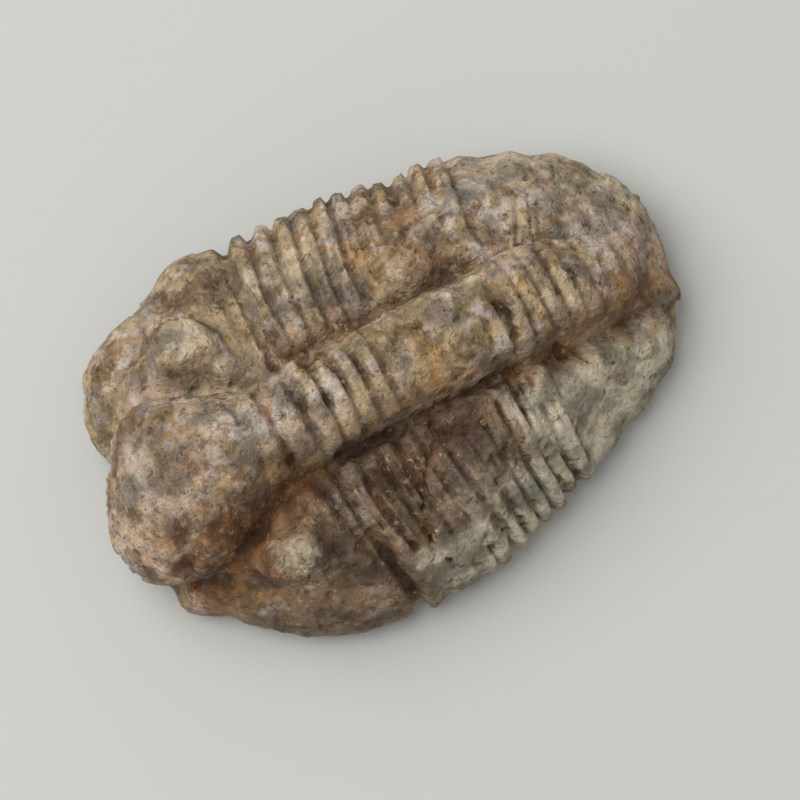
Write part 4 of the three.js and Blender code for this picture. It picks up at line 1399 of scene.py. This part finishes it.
class FOSSIL_OT_carve_trilobite(bpy.types.Operator):
    """Carve the trilobite with its rings, ribs, eyes, bumps, pits and weathering"""

    bl_idname = "fossil.carve_trilobite"
    bl_label = "Carve trilobite"

    def execute(self, context):
        sizes = context.scene.fossil_sizes
        arrays = body_arrays({"ring": sizes.ring_relief / MM, "rib": sizes.rib_relief / MM})
        mesh = mesh_from("trilobite_body", *arrays)
        weather(mesh, sizes.weathering / MM)
        piece = bpy.data.objects.new("trilobite_body", mesh)
        context.scene.collection.objects.link(piece)
        material = fossil_material(context.scene.fossil_colours)
        domes, lenses = domes_tree(), lenses_tree()
        for side in (1.0, -1.0):
            face_y = side * (EYE["y"] - EYE_FACE["in_y"])
            apply_tree(piece, lenses, {
                "Centre": (EYE["x"] * MM, face_y * MM, EYE_FACE["z"] * MM),
                "Side": side,
                "Radius": sizes.lens_radius,
                "Height": sizes.lens_height,
                "Material": material,
            })
        write_attribute(piece.data, "ground", ground_for(piece.data, "tubercle"))
        apply_tree(piece, domes, {
            "Mark": "tubercle",
            "Spacing": sizes.tubercle_spacing,
            "Radius": sizes.tubercle_radius,
            "Height": sizes.tubercle_height,
            "Seed": sizes.seed,
            "Material": material,
        })
        write_attribute(piece.data, "ground", ground_for(piece.data, "pit"))
        apply_tree(piece, domes, {
            "Mark": "pit",
            "Spacing": sizes.pit_spacing,
            "Radius": sizes.pit_radius,
            "Height": -sizes.pit_depth,
            "Unevenness": 0.75,
            "Raggedness": 3.0,
            "Seed": sizes.seed + 1,
            "Material": material,
        })
        mark_finishes(piece.data)
        fit_to_box(piece.data, CAD_BOX)
        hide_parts("trilobite")
        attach(piece, "root")
        return {"FINISHED"}


FLOOR_REACH = 1.5
CLIP_START = 0.01
# the view's middle, to the right of the origin and above it, in metres
AIM = {"right": 1.0 * MM, "up": -0.2 * MM}
# The key light lies to the view's left, slightly ahead, and above; distance and size are in metres.
KEY = {"right": -0.60, "ahead": 0.14, "up": 1.00, "distance": 0.6, "size": 0.62}
KEY_COLOUR = (1.0, 0.985, 0.955)
ROOM_COLOUR = (1.0, 0.99, 0.97, 1.0)


def soft_light(scene, name, place, size, power, colour):
    data = bpy.data.lights.new(name, "AREA")
    data.shape = "DISK"
    data.size = size
    data.energy = power
    data.color = colour
    light = bpy.data.objects.new(name, data)
    light.location = place
    light.rotation_euler = (-place).to_track_quat("-Z", "Y").to_euler()
    scene.collection.objects.link(light)


class FOSSIL_OT_lay_stage(bpy.types.Operator):
    """Lay the floor, the soft lights and the camera"""

    bl_idname = "fossil.lay_stage"
    bl_label = "Lay stage"

    def execute(self, context):
        scene, studio = context.scene, context.scene.fossil_studio
        floor_mesh = bpy.data.meshes.new("floor")
        reach = FLOOR_REACH
        corners = [(-reach, -reach, 0), (reach, -reach, 0), (reach, reach, 0), (-reach, reach, 0)]
        floor_mesh.from_pydata(corners, [], [(0, 1, 2, 3)])
        floor_mesh.materials.append(floor_material(studio.floor))
        floor = bpy.data.objects.new("floor", floor_mesh)
        scene.collection.objects.link(floor)

        turn, tilt = studio.azimuth, studio.elevation
        right = Vector((math.cos(turn), math.sin(turn), 0.0))
        up = Vector((-math.sin(turn) * math.sin(tilt), math.cos(turn) * math.sin(tilt), math.cos(tilt)))
        back = Vector((math.sin(turn) * math.cos(tilt), -math.cos(turn) * math.cos(tilt), math.sin(tilt)))
        camera_data = bpy.data.cameras.new("camera")
        camera_data.lens = camera_data.sensor_width * studio.distance / studio.view_width
        camera_data.clip_start = CLIP_START
        camera = bpy.data.objects.new("camera", camera_data)
        camera.location = right * AIM["right"] + up * AIM["up"] + back * studio.distance
        camera.rotation_euler = (-back).to_track_quat("-Z", "Y").to_euler()
        scene.collection.objects.link(camera)
        scene.camera = camera

        ahead = Vector((-math.sin(turn), math.cos(turn), 0.0))
        key_from = right * KEY["right"] + ahead * KEY["ahead"] + Vector((0, 0, KEY["up"]))
        key_place = key_from.normalized() * KEY["distance"]
        soft_light(scene, "key", key_place, KEY["size"], studio.key_strength, KEY_COLOUR)
        world = bpy.data.worlds.new("room")
        world.use_nodes = True
        background = world.node_tree.nodes["Background"]
        background.inputs["Color"].default_value = ROOM_COLOUR
        background.inputs["Strength"].default_value = studio.fill_strength
        scene.world = world
        scene.view_settings.view_transform = "Standard"
        return {"FINISHED"}


class FOSSIL_PT_sidebar(bpy.types.Panel):
    """Sizes, colours and steps of the fossil"""

    bl_label = "Trilobite fossil"
    bl_idname = "FOSSIL_PT_sidebar"
    bl_space_type = "VIEW_3D"
    bl_region_type = "UI"
    bl_category = "Fossil"

    def draw(self, context):
        layout, scene = self.layout, context.scene
        for settings in (scene.fossil_sizes, scene.fossil_colours, scene.fossil_studio):
            box = layout.box()
            for name in settings.bl_rna.properties.keys():
                if name not in ("rna_type", "name"):
                    box.prop(settings, name)
        layout.operator("fossil.carve_trilobite")
        layout.operator("fossil.lay_stage")


CLASSES = (FossilSizes, FossilColours, StudioSettings, FOSSIL_OT_carve_trilobite, FOSSIL_OT_lay_stage,
           FOSSIL_PT_sidebar)


def register():
    for item in CLASSES:
        bpy.utils.register_class(item)
    bpy.types.Scene.fossil_sizes = bpy.props.PointerProperty(type=FossilSizes)
    bpy.types.Scene.fossil_colours = bpy.props.PointerProperty(type=FossilColours)
    bpy.types.Scene.fossil_studio = bpy.props.PointerProperty(type=StudioSettings)


def unregister():
    del bpy.types.Scene.fossil_sizes
    del bpy.types.Scene.fossil_colours
    del bpy.types.Scene.fossil_studio
    for item in reversed(CLASSES):
        bpy.utils.unregister_class(item)


def main():
    register()
    bpy.ops.fossil.carve_trilobite()
    bpy.ops.fossil.lay_stage()


if __name__ == "__main__":
    main()
